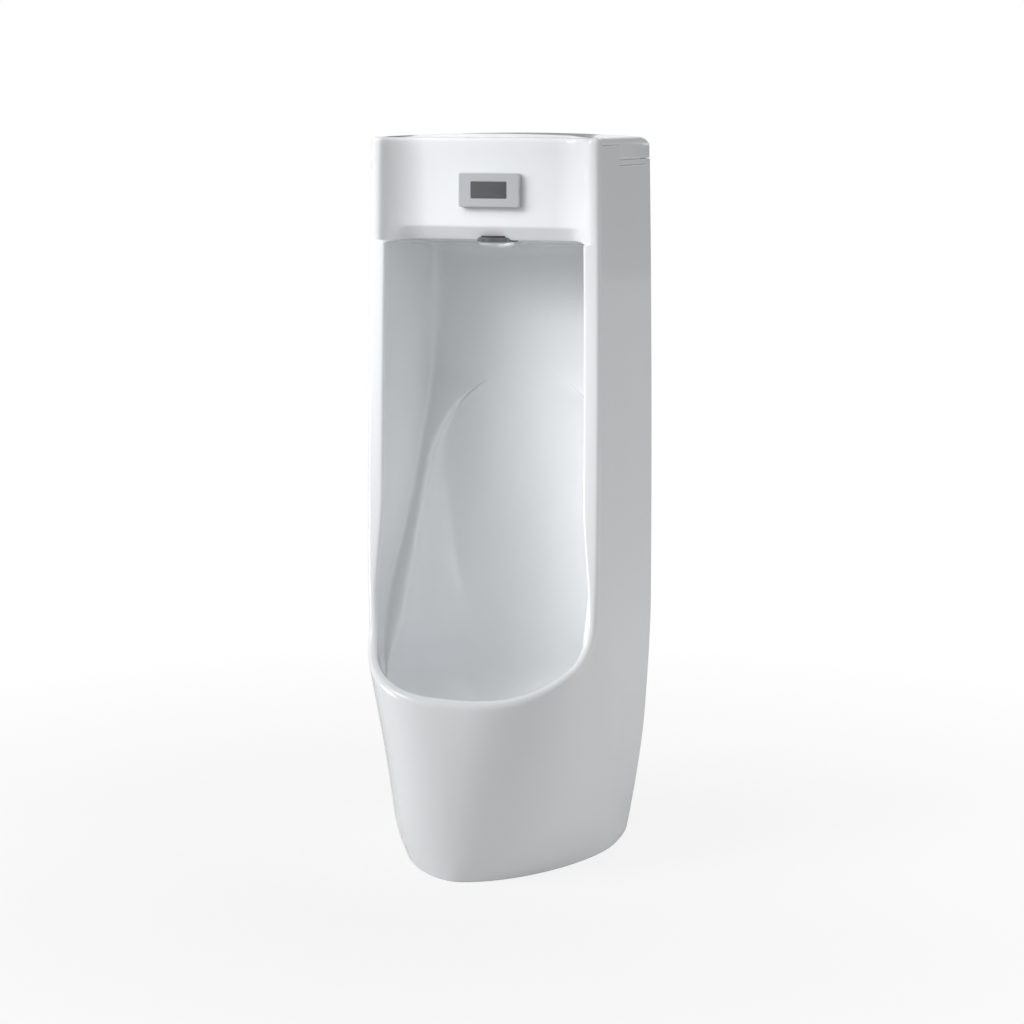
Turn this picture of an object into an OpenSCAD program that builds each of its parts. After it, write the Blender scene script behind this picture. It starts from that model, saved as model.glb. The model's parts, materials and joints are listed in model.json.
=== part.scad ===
// Floor-standing sensor urinal. X runs across, Y runs back to the wall, Z runs up.
// The origin lies on the floor, halfway between the lip and the wall.

/* [Body] */
// Height of the front top edge above the floor
body_h = 1000; // [980:1:1040]
// Depth from the wall to the lip
body_d = 348; // [342:1:360]
// Width where the body is widest
body_w = 345; // [341:1:352]
// Width at the top
top_w = 330; // [326:1:340]
// Width at the floor
base_w = 296; // [280:1:310]
// Depth from the wall to the nose of the foot
base_d = 338; // [326:1:346]
// Height at which the body is widest
wide_z = 340; // [320:1:360]
// How far the foot's sides draw in towards the wall
base_tuck = 11; // [4:1:14]
// Thickness of the ceramic walls
wall = 10; // [8:0.5:11]

/* [Rim and posts] */
// Height of the middle of the lip
lip_z = 249; // [240:1:260]
// Rise of the rim for each millimetre back from the lip
rim_slope = 0.55; // [0.5:0.01:0.6]
// Radius of the bend between the rim and the posts
rim_bend = 73; // [60:1:80]
// Depth of the posts' front faces at the bend
post_low_d = 233.5; // [228:0.5:238]
// Depth of the posts' front faces at the top
post_top_d = 221.5; // [218:0.5:226]
// Width of the posts
post_w = 24; // [22:0.5:26]
// Thickness of the rim
rim_w = 12.5; // [11.5:0.5:14]

/* [Cavity] */
// Depth of the cavity's back wall
back_d = 46; // [44:1:50]
// Height at which the shoulder starts to slope forward
shoulder_z = 690; // [670:1:710]
// Advance of the shoulder for each millimetre down
shoulder_slope = 0.42; // [0.38:0.01:0.44]
// Height of the top of the basin's arch
arch_z = 672; // [660:1:680]
// Height at which the basin's arch springs from its straight sides
spring_z = 530; // [500:5:560]
// Half of the basin's width where the arch springs
arch_half = 130; // [124:1:133]
// Half of the basin's width below the arch
basin_half = 135; // [128:1:137]
// Height below which the basin keeps its width
basin_z = 328; // [320:1:340]
// Radius of the rounded basin edge
ridge_r = 9; // [6:1:12]
// Radius of the hollow between shoulder and side wall
valley_r = 9; // [6:1:12]
// Height of the bottom of the bowl
bowl_z = 150; // [145:1:156]
// Drop from the top edge to the ceiling's rear edge
ceiling_back_drop = 152; // [148:1:160]
// Drop from the top edge to the ceiling's front edge
ceiling_front_drop = 137; // [134:1:140]

/* [Panel and service chamber] */
// Depth of the top panel's face
panel_d = 192; // [188:1:196]
// Half of the panel's flat width
panel_flat = 95; // [88:1:100]
// Thickness of the panel
panel_t = 12; // [10:0.5:14]
// Depth of the chamber below the top edge
chamber_h = 114; // [111:1:115]
// Radius of the panel's rounded lower edge
panel_roll = 16; // [12:1:18]
// Radius of the panel's rounded top edge
top_roll = 10; // [6:1:11]
// Half of the chamber's width
chamber_half = 152; // [150:0.5:153]
// Thickness of the lid's edge
lid_t = 10; // [8:0.5:12]
// Rise of the lid's crown above its edges
lid_crown = 5; // [3:0.5:7]
// Depth of the lid's side skirts
skirt_t = 20; // [16:1:24]
// Depth from the wall to the step in the lid's side edge
skirt_d = 138; // [130:1:146]
// Thickness of the lid's seat strips
strip_t = 8; // [6:0.5:10]
// Gap round the lid
lid_gap = 0.8; // [0.5:0.1:1.2]

/* [Sensor] */
// Drop from the top edge to the sensor's centre
sensor_drop = 70.5; // [68:0.5:72]
// Width of the sensor plate
plate_w = 88; // [86:1:92]
// Height of the sensor plate
plate_h = 46; // [44:1:48]
// Thickness of the sensor plate
plate_t = 8.2; // [7:0.1:10]
// Width of the sensor window
window_w = 52; // [48:1:54]
// Height of the sensor window
window_h = 23; // [21:1:25]
// Width of the sensor housing
housing_w = 60; // [58:1:64]
// Height of the sensor housing
housing_h = 28; // [27:1:30]
// Distance between the sensor screws
screw_span = 77; // [76:0.5:78]

/* [Spreader and flush valve] */
// Depth of the spreader's axis
spreader_d = 165; // [163:1:165]
// Radius of the spreader cap
spreader_r = 28.5; // [27:0.5:31]
// Depth of ceramic between the spreader's seat and the chamber's floor
spreader_seat_t = 19; // [17:0.5:20]
// Radius of the spreader's stem
stem_r = 10; // [9:0.5:10.5]
// Depth of the flush valve's axis
valve_d = 85; // [82:1:88]
// Radius of the valve body
valve_r = 24; // [23:0.5:26]
// Height of the valve body
valve_h = 52; // [50:1:54]
// Radius of the piston
piston_r = 15; // [14:0.5:15.5]
// Lift of the piston
piston_lift = 4; // [3:0.5:5]
// Radius of the solenoid coil
coil_r = 15; // [13:0.5:17]
// Travel of the plunger
plunger_travel = 2; // [1.5:0.1:2.5]

/* [Water inlet] */
// Sideways place of the water inlet
inlet_x = 118; // [116:0.5:120]
// Radius of the inlet thread
inlet_r = 10.48; // [10:0.01:10.6]
// Rise of the water inlet above the chamber's floor
inlet_rise = 34; // [32:0.5:36]
// Radius of the supply hose
hose_r = 6.5; // [5.5:0.5:7]
// Length of the stop lever
lever_l = 30; // [26:1:32]

/* [Power and control] */
// Sideways place of the battery box
battery_x = -115; // [-117:0.5:-114]
// Radius of a cell
cell_r = 7.2; // [7:0.05:7.3]
// Length of a cell
cell_l = 50.5; // [49:0.5:51]
// Depth of the battery box's centre
battery_d = 65; // [60:1:70]
// Sideways place of the control box
control_x = -54; // [-56:0.5:-53]

/* [Drain] */
// Depth of the drain's axis
drain_d = 185; // [180:1:190]
// Radius of the waste tube
waste_r = 20; // [19:0.5:21]
// Radius of the drain strainer
strainer_r = 30; // [28:0.5:31]
// Radius of the trap's bend
trap_bend = 40; // [38:0.5:42]
// Height of the waste pipe where it meets the wall
waste_z = 118; // [117:0.5:122]
// Radius of the rubber seal that enters the wall's waste socket
seal_r = 25; // [24:0.5:27]

/* [Wall fixings] */
// Height of the underside of the ceramic cross rib
rib_z = 700; // [690:1:710]
// Sideways distance of each wall cleat
cleat_x = 95; // [85:1:105]
// Width of a wall cleat
cleat_w = 40; // [36:1:48]
// Height of a wall cleat
cleat_h = 70; // [62:1:80]
// Reach of a cleat's shelf under the rib
cleat_reach = 32; // [30:1:34]
// Depth of the cleat bolts
cleat_bolt_d = 20; // [18:1:22]
// Spacing of the screw holes in a cleat
cleat_pitch = 35; // [30:1:40]

/* [Hidden] */
$fn = 48;
eps = 0.01;
wall_y = body_d / 2;
chamber_z = body_h - chamber_h;
ceiling_back_z = body_h - ceiling_back_drop;
ceiling_front_z = body_h - ceiling_front_drop;
sensor_z = body_h - sensor_drop;
spreader_seat_z = chamber_z - spreader_seat_t;
inlet_z = chamber_z + inlet_rise;
// Depth at which the plan starts to round towards the nose
side_d = 100;
// Height up to which the foot's sides draw in
tuck_z = 170;
// Height above which the plan keeps its squareness
square_z = 400;
// Roundness of the plan at the floor, its quick growth up to foot_z, and its growth up to square_z
base_power = 1.65;
foot_gain = 0.42;
foot_z = 75;
power_gain = 2.43;
front_steps = 18;
rear_steps = 3;
outer_levels = [for (i = [0:11]) lip_z * i / 12, for (i = [0:13]) lip_z + (body_h - lip_z) * i / 13];
drain_recess_r = strainer_r + 4;
drain_floor_z = bowl_z - 2;
boss_z = drain_floor_z - 16;
ceiling_slope = (ceiling_front_z - ceiling_back_z) / (panel_d + 3 - back_d);
seat_z = body_h - lid_t;
skirt_z = seat_z - skirt_t;
strip_z = skirt_z - strip_t;
strip_front_d = skirt_d;
strip_rear_d = 20;
panel_inner = chamber_half - 8;
fillet_r = pow(panel_inner - panel_flat, 2) / (2 * 22) + 11;
panel_y = wall_y - panel_d;
plate_back_d = panel_d + 0.8;
plate_front_d = plate_back_d + plate_t;
screw_x = screw_span / 2;
elbow_z = chamber_z + 19;
valve_base = chamber_z;
valve_top = chamber_z + valve_h;
seat_top = chamber_z + 27;
bonnet_top = valve_top + 6;
guide_top = bonnet_top + 32;
branch_end = valve_r + 28;
hose_bend = 33;
stop_d = valve_d - hose_bend;
hose_bend_x = inlet_x - hose_bend;
lever_z = inlet_z + 19;
box_w = 4 * 2 * cell_r + 6.4;
box_l = cell_l + 19.5;
box_h = 2 * cell_r + 17.6;
control_w = 38;
control_l = 60;
control_h = 28;
control_d = 70;
trap_top = trap_bend + 45;
outlet_bend = 30;
riser_d = drain_d - 2 * trap_bend;
cleat_t = 3;
rib_t = 16;

// A depth from the wall as a Y coordinate
function yw(d) = wall_y - d;

// Smooth step from 0 to 1
function ease(t) = let (u = min(1, max(0, t))) u * u * (3 - 2 * u);

// Half the outer width at a height
function half_w(z) = z > wide_z
    ? body_w / 2 - (body_w - top_w) / 2 * pow((z - wide_z) / (body_h - wide_z), 2)
    : body_w / 2 - (body_w - base_w) / 2 * pow((wide_z - max(z, 0)) / wide_z, 1.5);

// Depth of the nose at a height
function nose_d(z) = base_d + (body_d - base_d) * z / lip_z;

// Exponent of the plan's rounded front: low is pointed, high is square
function plan_power(z) = let (foot = 1 - min(max(z, 0), foot_z) / foot_z)
    base_power + foot_gain * (1 - foot * foot) + power_gain * pow(min(max(z, 0), square_z) / square_z, 2.4);

// How far the sides draw in at a height and a depth
function tuck(z, d) = base_tuck * pow(max(0, 1 - max(z, 0) / tuck_z), 1.5) * pow((side_d - d) / side_d, 2);

// Half the width at a height and a depth, drawn in by an inset
function plan_x(z, d, inset) = d <= side_d
    ? half_w(z) - inset - tuck(z, d)
    : let (t = min(1, (d - side_d) / (nose_d(z) - inset - side_d)))
      (half_w(z) - inset) * pow(max(0, 1 - pow(t, plan_power(z))), 1 / plan_power(z));

// Right half of the plan, from the wall to the nose, as [x, depth] points
function plan_half(z, inset, rear, n) = concat(
    [for (i = [0:rear_steps]) let (d = rear + (side_d - rear) * i / rear_steps) [plan_x(z, d, inset), d]],
    [for (i = [1:n]) let (t = 90 * i / n, p = plan_power(z))
        [(half_w(z) - inset) * pow(cos(t), 2 / p),
         side_d + (nose_d(z) - inset - side_d) * pow(sin(t), 2 / p)]]);

// A right half mirrored into a whole ring at a height
function ring(half, z) = concat(
    [for (i = [len(half) - 1:-1:0]) [half[i][0], yw(half[i][1]), z]],
    [for (i = [0:len(half) - 2]) if (half[i][0] > 0) [-half[i][0], yw(half[i][1]), z]]);

// Wall thickness between the cavity and the outer plan
function side_inset(z) = rim_w + (post_w - rim_w) * ease((z - wide_z + 10) / 190);

// Depth of the shoulder
function shoulder_d(z) = back_d + shoulder_slope * max(0, shoulder_z - max(z, 288));

// Half the width of the basin, from its arch down to the lip
function basin_w(z) = z >= arch_z - 1 ? 18 :
    z > spring_z ? max(18, arch_half * sqrt(1 - pow((z - spring_z) / (arch_z - spring_z), 2))) :
    z > basin_z ? arch_half + (basin_half - arch_half) * (spring_z - z) / (spring_z - basin_z) :
    basin_half + (plan_x(lip_z, shoulder_d(lip_z), rim_w) - 1 - basin_half)
        * ease((basin_z - z) / (basin_z - lip_z));

// Right half of the cavity at a height, from the back's middle to the nose; grow makes it larger
function cavity_half(z, grow, n) =
    let (s = shoulder_d(z) - grow, b = z > arch_z ? s : back_d - grow, e = basin_w(z) + grow,
         inset = side_inset(z) - grow, flat = plan_x(z, s, inset) - e,
         r1 = min(ridge_r, 0.4 * flat, 0.8 * (s - b)), r2 = min(valley_r, 0.4 * flat),
         run = max(r1, 2), d0 = s + r2, w = plan_x(z, d0, inset), front = nose_d(z) - inset)
    concat(
        [for (i = [0:n]) let (t = 90 * i / n) [e * sin(t), s - r1 - (s - r1 - b) * cos(t)]],
        [for (i = [1:3]) let (t = 30 * i) [e + run - run * cos(t), s - r1 + r1 * sin(t)]],
        [for (i = [0:2]) let (t = 30 * i) [w - r2 + r2 * sin(t), d0 - r2 * cos(t)]],
        [for (i = [0:n + 1]) let (d = d0 + (front - d0) * sin(90 * i / (n + 1))) [plan_x(z, d, inset), d]]);

// The bowl's rings close towards the drain as a quarter ellipse
function bowl_ring(a, grow, n) =
    [for (p = ring(cavity_half(lip_z, grow, n), 0))
        [p[0] * cos(a), yw(drain_d) + (p[1] - yw(drain_d)) * cos(a),
         lip_z - (lip_z - bowl_z + grow) * sin(a)]];

function cavity_rings(grow, n, bowl_n, rim_n, arch_n, top_z) = concat(
    [for (i = [bowl_n:-1:1]) bowl_ring(80 * i / bowl_n, grow, n)],
    [for (i = [0:rim_n]) let (z = lip_z + (basin_z - lip_z) * i / rim_n) ring(cavity_half(z, grow, n), z)],
    [for (i = [1:arch_n]) let (z = basin_z + (arch_z - basin_z) * sin(90 * i / arch_n))
        ring(cavity_half(z, grow, n), z)],
    [for (z = [arch_z + 2, shoulder_z]) ring(cavity_half(z, grow, n), z)],
    [[for (p = ring(cavity_half(ceiling_back_z, grow, n), 0))
        [p[0], p[1], top_z + ceiling_slope * (yw(back_d) - p[1])]]]);

// A closed solid through rings of equal length, from the lowest up
module loft(rings) {
    n = len(rings[0]);
    m = len(rings);
    polyhedron(
        points = [for (r = rings) for (p = r) p],
        faces = concat(
            [[for (i = [0:n - 1]) i]],
            [for (j = [0:m - 2]) for (i = [0:n - 1]) let (k = (i + 1) % n) each
                [[j * n + i, (j + 1) * n + i, j * n + k], [j * n + k, (j + 1) * n + i, (j + 1) * n + k]]],
            [[for (i = [n - 1:-1:0]) (m - 1) * n + i]]),
        convexity = 8);
}

module rod_z(r, z0, z1) {
    translate([0, 0, z0]) cylinder(r = r, h = z1 - z0);
}

module rod_x(r, x0, x1) {
    translate([x0, 0, 0]) rotate([0, 90, 0]) cylinder(r = r, h = x1 - x0);
}

// A rod between two depths
module rod_d(r, d0, d1) {
    translate([0, yw(d1), 0]) rotate([-90, 0, 0]) cylinder(r = r, h = d1 - d0);
}

// A box between two corners given as x, depth and height
module block(a, b) {
    translate([a[0], yw(b[1]), a[2]]) cube([b[0] - a[0], b[1] - a[1], b[2] - a[2]]);
}

// A side outline of [depth, height] points drawn right across the width
module across(points) {
    translate([-body_w, 0, 0]) rotate([90, 0, 90]) linear_extrude(height = 2 * body_w)
        polygon([for (p = points) [yw(p[0]), p[1]]]);
}

// A round tube swept along points with a given number of sides
function unit(v) = v / norm(v);
function path_dir(p, i) = unit(p[min(i + 1, len(p) - 1)] - p[max(i - 1, 0)]);
function tube_ring(c, t, r, sides) =
    let (u = unit(cross(t, abs(t[2]) > 0.9 ? [1, 0, 0] : [0, 0, 1])), v = cross(t, u))
    [for (i = [0:sides - 1]) c + r * (cos(360 * i / sides) * u + sin(360 * i / sides) * v)];
function hermite(a, ta, b, tb, n) = [for (i = [0:n]) let (s = i / n)
    (2 * pow(s, 3) - 3 * s * s + 1) * a + (pow(s, 3) - 2 * s * s + s) * ta
    + (3 * s * s - 2 * pow(s, 3)) * b + (pow(s, 3) - s * s) * tb];
module cable(path, r) {
    loft([for (i = [0:len(path) - 1]) tube_ring(path[i], path_dir(path, i), r, 8)]);
}

// Side outline of what the rim and the posts leave away, moved in by an offset
function rim_cut(o) =
    let (turn = 90 - atan(rim_slope), reach = rim_bend * tan(turn / 2),
         corner_z = lip_z + rim_slope * (body_d - post_low_d), c = [post_low_d + rim_bend, corner_z + reach],
         r = rim_bend + o)
    concat([[2 * body_d, lip_z - body_d * rim_slope - o / cos(atan(rim_slope))]],
           [for (i = [0:6]) let (a = 180 + turn * (1 - i / 6)) [c[0] + r * cos(a), c[1] + r * sin(a)]],
           [[post_top_d - o, body_h + 1], [2 * body_d, body_h + 1]]);

// Plan outline of the panel's face between the posts, as [x, depth]
function panel_arc(o) = [for (i = [0:8]) let (a = i / 8 * asin((panel_inner - panel_flat) / fillet_r))
    [panel_flat + fillet_r * sin(a), panel_d - o + fillet_r * (1 - cos(a))]];
function mirrored(points) = concat(points, [for (i = [len(points) - 1:-1:0]) [-points[i][0], points[i][1]]]);

module plan_prism(points, z0, z1) {
    translate([0, 0, z0]) linear_extrude(height = z1 - z0) polygon([for (p = points) [p[0], yw(p[1])]]);
}

// The recess before the panel, with its lower and top edges rounded; each level is [height, set back]
module panel_recess() {
    roll_z = ceiling_front_z - 3;
    levels = concat(
        [for (i = [4:-1:0]) let (a = 90 * i / 4)
            [roll_z + panel_roll * (1 - sin(a)), panel_roll * (1 - cos(a))]],
        [for (i = [0:4]) let (a = 84 * i / 4)
            [body_h - top_roll * (1 - sin(a)), top_roll * (1 - cos(a))]],
        [[body_h + 1, top_roll]]);
    loft([for (v = levels) ring(concat([[0, panel_d - v[1]]], panel_arc(v[1]),
        [[panel_inner + 3, post_top_d], [panel_inner + 3, 2 * body_d], [0, 2 * body_d]]), v[0])]);
}

// The space behind the panel, open to the wall; side is its half width
module chamber_prism(side, gap, z0, z1) {
    plan_prism(mirrored(concat([for (p = panel_arc(panel_t + gap)) [p[0], p[1]]],
                               [[chamber_half, post_top_d - panel_t - gap],
                                [side, post_top_d - panel_t - gap], [side, -1]])), z0, z1);
}

// Blind space between the outer shell and the bowl, open to the wall and the floor
module shell_hollow() {
    difference() {
        intersection() {
            loft([for (z = [-1, for (i = [0:8]) 40 + (ceiling_back_z - 60) * i / 8])
                ring(plan_half(z, wall, -1, 8), z)]);
            difference() {
                across([[-2, -2], [body_d, -2], [body_d, body_h], [-2, body_h]]);
                across(rim_cut(wall));
            }
        }
        loft(cavity_rings(wall, 5, 4, 3, 6, ceiling_back_z));
        translate([0, yw(drain_d), 0]) rod_z(drain_recess_r + 6, boss_z, bowl_z);
        block([-body_w, -2, rib_z], [body_w, back_d, rib_z + rib_t]);
        block([-body_w, -2, -2], [body_w, 14, 24]);
    }
}

module ceramic_shell() {
    resize([0, 0, body_h]) difference() {
        loft([for (z = outer_levels) ring(plan_half(z, 0, 0, front_steps), z)]);
        across(rim_cut(0));
        loft(cavity_rings(0, 11, 8, 7, 15, ceiling_back_z));
        shell_hollow();
        panel_recess();
        chamber_prism(chamber_half, 0, chamber_z, body_h + 1);
        chamber_prism(body_w, 0, seat_z, body_h + 1);
        for (s = [-1, 1]) {
            translate([s * (chamber_half + 25), 0, 0]) {
                block([-25, -1, skirt_z], [25, skirt_d, body_h]);
                block([-25, strip_rear_d, strip_z], [25, strip_front_d, body_h]);
            }
        }
    }
}

module ceramic_body() {
    color("white") difference() {
        ceramic_shell();
        translate([0, yw(spreader_d), 0]) {
            rod_z(spreader_r + 2, ceiling_back_z - 10, spreader_seat_z);
            rod_z(stem_r + 1.2, spreader_seat_z - 1, chamber_z + 1);
        }
        translate([0, yw(drain_d), 0]) {
            rod_z(drain_recess_r, drain_floor_z, lip_z);
            rod_z(waste_r + 1.5, boss_z - 1, drain_floor_z + 1);
        }
        block([-housing_w / 2 - 1.5, panel_d - panel_t - 1, sensor_z - housing_h / 2 - 1.5],
              [housing_w / 2 + 1.5, panel_d + 1, sensor_z + housing_h / 2 + 1.5]);
        for (s = [-1, 1]) {
            translate([s * screw_x, 0, sensor_z]) rod_d(2.6, panel_d - panel_t - 1, panel_d + 1);
            translate([s * cleat_x, yw(cleat_bolt_d), 0]) rod_z(3.3, rib_z - 1, rib_z + rib_t + 1);
        }
    }
}

module top_lid() {
    crown_r = (pow(top_w / 2, 2) + pow(lid_crown, 2)) / (2 * lid_crown);
    rear_run = 45;
    rear_drop = 13;
    color("white") difference() {
        intersection() {
            union() {
                chamber_prism(top_w / 2, lid_gap, seat_z, body_h + 2 * lid_crown);
                for (s = [-1, 1])
                    translate([s * (top_w / 2 + chamber_half + 0.6) / 2, 0, 0])
                        block([-(top_w / 2 - chamber_half - 0.6) / 2, 3, skirt_z],
                              [(top_w / 2 - chamber_half - 0.6) / 2, skirt_d - lid_gap, seat_z + 1]);
            }
            translate([0, yw(0), 0]) rotate([90, 0, 0]) linear_extrude(height = body_d) polygon(concat(
                [[-body_w, skirt_z - 1]],
                [for (i = [-14:14]) let (x = i / 12 * top_w / 2) [x, body_h + lid_crown - x * x / (2 * crown_r)]],
                [[body_w, skirt_z - 1]]));
            across(concat([[body_d, skirt_z - 1], [body_d, body_h + 2 * lid_crown],
                           [rear_run, body_h + 2 * lid_crown]],
                          [for (i = [0:8]) let (a = 90 * i / 8)
                              [3 + (rear_run - 3) * (1 - sin(a)), body_h + lid_crown - rear_drop * (1 - cos(a))]],
                          [[3, skirt_z - 1]]));
        }
        block([-chamber_half + 20, 12, seat_z - 1], [chamber_half - 20, panel_d - panel_t - 30, body_h - 3]);
    }
}

module lid_seat_strips() {
    color("gainsboro") for (s = [-1, 1])
        translate([s * (top_w / 2 + chamber_half) / 2, 0, 0])
            block([-(top_w / 2 - chamber_half) / 2, strip_rear_d + 0.2, strip_z],
                  [(top_w / 2 - chamber_half) / 2, strip_front_d - 0.2, skirt_z - 0.1]);
}

// An upright plate with rounded corners between two depths
module round_plate(w, h, r, d0, d1) {
    translate([0, yw(d1), sensor_z]) rotate([-90, 0, 0]) linear_extrude(height = d1 - d0)
        union() {
            square([w - 2 * r, h], center = true);
            square([w, h - 2 * r], center = true);
            for (x = [-1, 1]) for (y = [-1, 1]) translate([x * (w / 2 - r), y * (h / 2 - r)]) circle(r = r);
        }
}

module sensor_plate() {
    color("silver") difference() {
        round_plate(plate_w, plate_h, 3, plate_back_d, plate_front_d);
        round_plate(window_w, window_h, 1.2, plate_front_d - 3.2, plate_front_d + 1);
        round_plate(window_w - 5, window_h - 5, 1, plate_back_d - 1, plate_front_d);
        for (s = [-1, 1]) translate([s * screw_x, 0, sensor_z]) rod_d(2.05, plate_back_d - 1, plate_front_d - 2);
    }
}

module sensor_window() {
    color("dimgray") round_plate(window_w - 0.3, window_h - 0.3, 1, plate_front_d - 3.2, plate_front_d - 0.3);
}

module sensor_gasket() {
    color("black") difference() {
        round_plate(plate_w - 3, plate_h - 3, 3, panel_d, plate_back_d);
        round_plate(housing_w + 3, housing_h + 3, 1, panel_d - 1, plate_back_d + 1);
        for (s = [-1, 1]) translate([s * screw_x, 0, sensor_z]) rod_d(2.4, panel_d - 1, plate_back_d + 1);
    }
}

module sensor_housing() {
    color("black") difference() {
        round_plate(housing_w, housing_h, 2, panel_d - 32, plate_back_d);
        round_plate(housing_w - 4, housing_h - 4, 1, panel_d - 30, plate_back_d + 1);
        translate([-18, 0, sensor_z]) rod_d(2.2, panel_d - 33, panel_d - 29);
    }
}

module sensor_board() {
    color("darkgreen") round_plate(housing_w - 4.4, housing_h - 4.4, 0.6, panel_d - 29.4, panel_d - 27.8);
}

module sensor_diodes() {
    color("lightgray") for (s = [-1, 1]) translate([s * 14, 0, sensor_z]) {
        rod_d(2.5, panel_d - 27.8, panel_d - 18);
        rod_d(3, panel_d - 27.8, panel_d - 26.6);
    }
}

module sensor_screws() {
    color("silver") for (s = [-1, 1]) translate([s * screw_x, 0, sensor_z]) difference() {
        union() {
            rod_d(2, panel_d - panel_t - 1, plate_front_d - 2.4);
            rod_d(4, panel_d - panel_t - 3.4, panel_d - panel_t);
        }
        block([-3, panel_d - panel_t - 4, -0.5], [3, panel_d - panel_t - 2.4, 0.5]);
    }
}

module spreader_cap() {
    top = spreader_seat_z - 2;
    color("silver") translate([0, yw(spreader_d), 0]) difference() {
        rotate_extrude() polygon(concat(
            [[stem_r + 0.05, top], [spreader_r - 1, top], [spreader_r, top - 1], [spreader_r, top - 6]],
            [for (i = [0:8]) let (a = 90 * i / 8) [(spreader_r - 1.5) * cos(a), top - 7 - 9 * sin(a)]],
            [[0, top - 13]],
            [for (i = [8:-1:0]) let (a = 90 * i / 8) [(spreader_r - 5) * cos(a), top - 7 - 6 * sin(a)]],
            [[spreader_r - 5, top - 4], [stem_r + 0.05, top - 4]]));
        for (a = [20:14:160]) rotate([0, 0, a]) translate([spreader_r - 6, 0, top - 7.5])
            rod_x(1.4, 0, 8);
    }
}

module spreader_gasket() {
    color("black") translate([0, yw(spreader_d), 0]) difference() {
        rod_z(spreader_r - 3, spreader_seat_z - 2, spreader_seat_z);
        rod_z(stem_r + 0.3, spreader_seat_z - 3, spreader_seat_z + 1);
    }
}

module spreader_stem() {
    color("goldenrod") translate([0, yw(spreader_d), 0]) difference() {
        rod_z(stem_r, spreader_seat_z - 6, elbow_z - 5);
        rod_z(stem_r - 3, spreader_seat_z - 7, elbow_z - 4);
    }
}

module spreader_washer() {
    color("firebrick") translate([0, yw(spreader_d), 0]) difference() {
        rod_z(14.4, chamber_z, chamber_z + 1.5);
        rod_z(stem_r + 0.3, chamber_z - 1, chamber_z + 2);
    }
}

module spreader_nut() {
    color("goldenrod") translate([0, yw(spreader_d), 0]) difference() {
        translate([0, 0, chamber_z + 1.5]) cylinder(r = 16, h = 6.5, $fn = 6);
        rod_z(stem_r + 0.05, chamber_z, chamber_z + 9);
    }
}

module flush_elbow() {
    color("goldenrod") difference() {
        union() {
            translate([0, yw(spreader_d), 0]) rod_z(12.5, chamber_z + 8.5, elbow_z + 10);
            translate([0, 0, elbow_z]) rod_d(10.5, spreader_d - 16, spreader_d);
        }
        translate([0, yw(spreader_d), 0]) {
            rod_z(stem_r + 0.05, chamber_z, elbow_z - 4.9);
            rod_z(stem_r - 3, elbow_z - 6, elbow_z + 8);
        }
        translate([0, 0, elbow_z]) {
            rod_d(7, spreader_d - 20, spreader_d);
            rod_d(9.05, spreader_d - 20, spreader_d - 11);
        }
    }
}

module flush_pipe() {
    color("silver") translate([0, 0, elbow_z]) difference() {
        rod_d(9, valve_d + valve_r - 2, spreader_d - 11.1);
        rod_d(7, valve_d + valve_r - 3, spreader_d);
    }
}

module valve_body() {
    color("goldenrod") difference() {
        union() {
            translate([0, yw(valve_d), 0]) rod_z(valve_r, valve_base, valve_top);
            translate([0, yw(valve_d), inlet_z]) rod_x(inlet_r, 0, branch_end);
            translate([0, 0, elbow_z]) rod_d(12, valve_d, valve_d + valve_r + 6);
            translate([0, yw(valve_d), elbow_z]) rod_x(6, -valve_r - 6, 0);
        }
        translate([0, yw(valve_d), 0]) {
            rod_z(piston_r + 0.05, seat_top, valve_top + 1);
            rod_z(9, valve_base + 8, seat_top + 1);
        }
        translate([0, yw(valve_d), inlet_z]) rod_x(7, piston_r - 2, branch_end + 1);
        translate([0, 0, elbow_z]) {
            rod_d(7, valve_d, valve_d + valve_r + 7);
            rod_d(9.05, valve_d + valve_r - 2.05, valve_d + valve_r + 7);
        }
        translate([0, yw(valve_d), elbow_z]) rod_x(3.05, -valve_r - 7, 0);
        for (a = [45:90:315]) translate([0, yw(valve_d), 0]) rotate([0, 0, a])
            translate([valve_r - 4.4, 0, 0]) rod_z(1.6, valve_top - 10, valve_top + 1);
    }
}

module piston() {
    color("ivory") translate([0, yw(valve_d), 0]) difference() {
        rod_z(piston_r, seat_top + 4, seat_top + 15);
        rod_z(piston_r - 3, seat_top + 8, seat_top + 16);
    }
}

module piston_seal() {
    color("black") translate([0, yw(valve_d), 0]) rod_z(piston_r - 2, seat_top + 0.1, seat_top + 4);
}

module piston_spring() {
    color("silver") translate([0, yw(valve_d), 0]) difference() {
        rod_z(piston_r - 4, seat_top + 8, valve_top);
        rod_z(piston_r - 6, seat_top + 7, valve_top + 1);
    }
}

module valve_bonnet() {
    color("goldenrod") difference() {
        translate([0, yw(valve_d), 0]) {
            rod_z(valve_r, valve_top, bonnet_top);
            rod_z(6, bonnet_top - 1, guide_top);
        }
        translate([0, yw(valve_d), 0]) {
            rod_z(4.05, bonnet_top - 3, guide_top - 2);
            rod_z(1, valve_top - 1, bonnet_top);
            for (a = [45:90:315]) rotate([0, 0, a]) translate([valve_r - 4.4, 0, 0])
                rod_z(1.8, valve_top - 1, bonnet_top + 1);
        }
    }
}

module bonnet_screws() {
    color("silver") translate([0, yw(valve_d), 0]) for (a = [45:90:315]) rotate([0, 0, a])
        translate([valve_r - 4.4, 0, 0]) difference() {
            union() {
                rod_z(1.5, valve_top - 9, bonnet_top + 1);
                rod_z(3.2, bonnet_top, bonnet_top + 2.4);
            }
            translate([0, 0, bonnet_top + 1.2]) cylinder(r = 1.4, h = 2, $fn = 6);
        }
}

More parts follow.
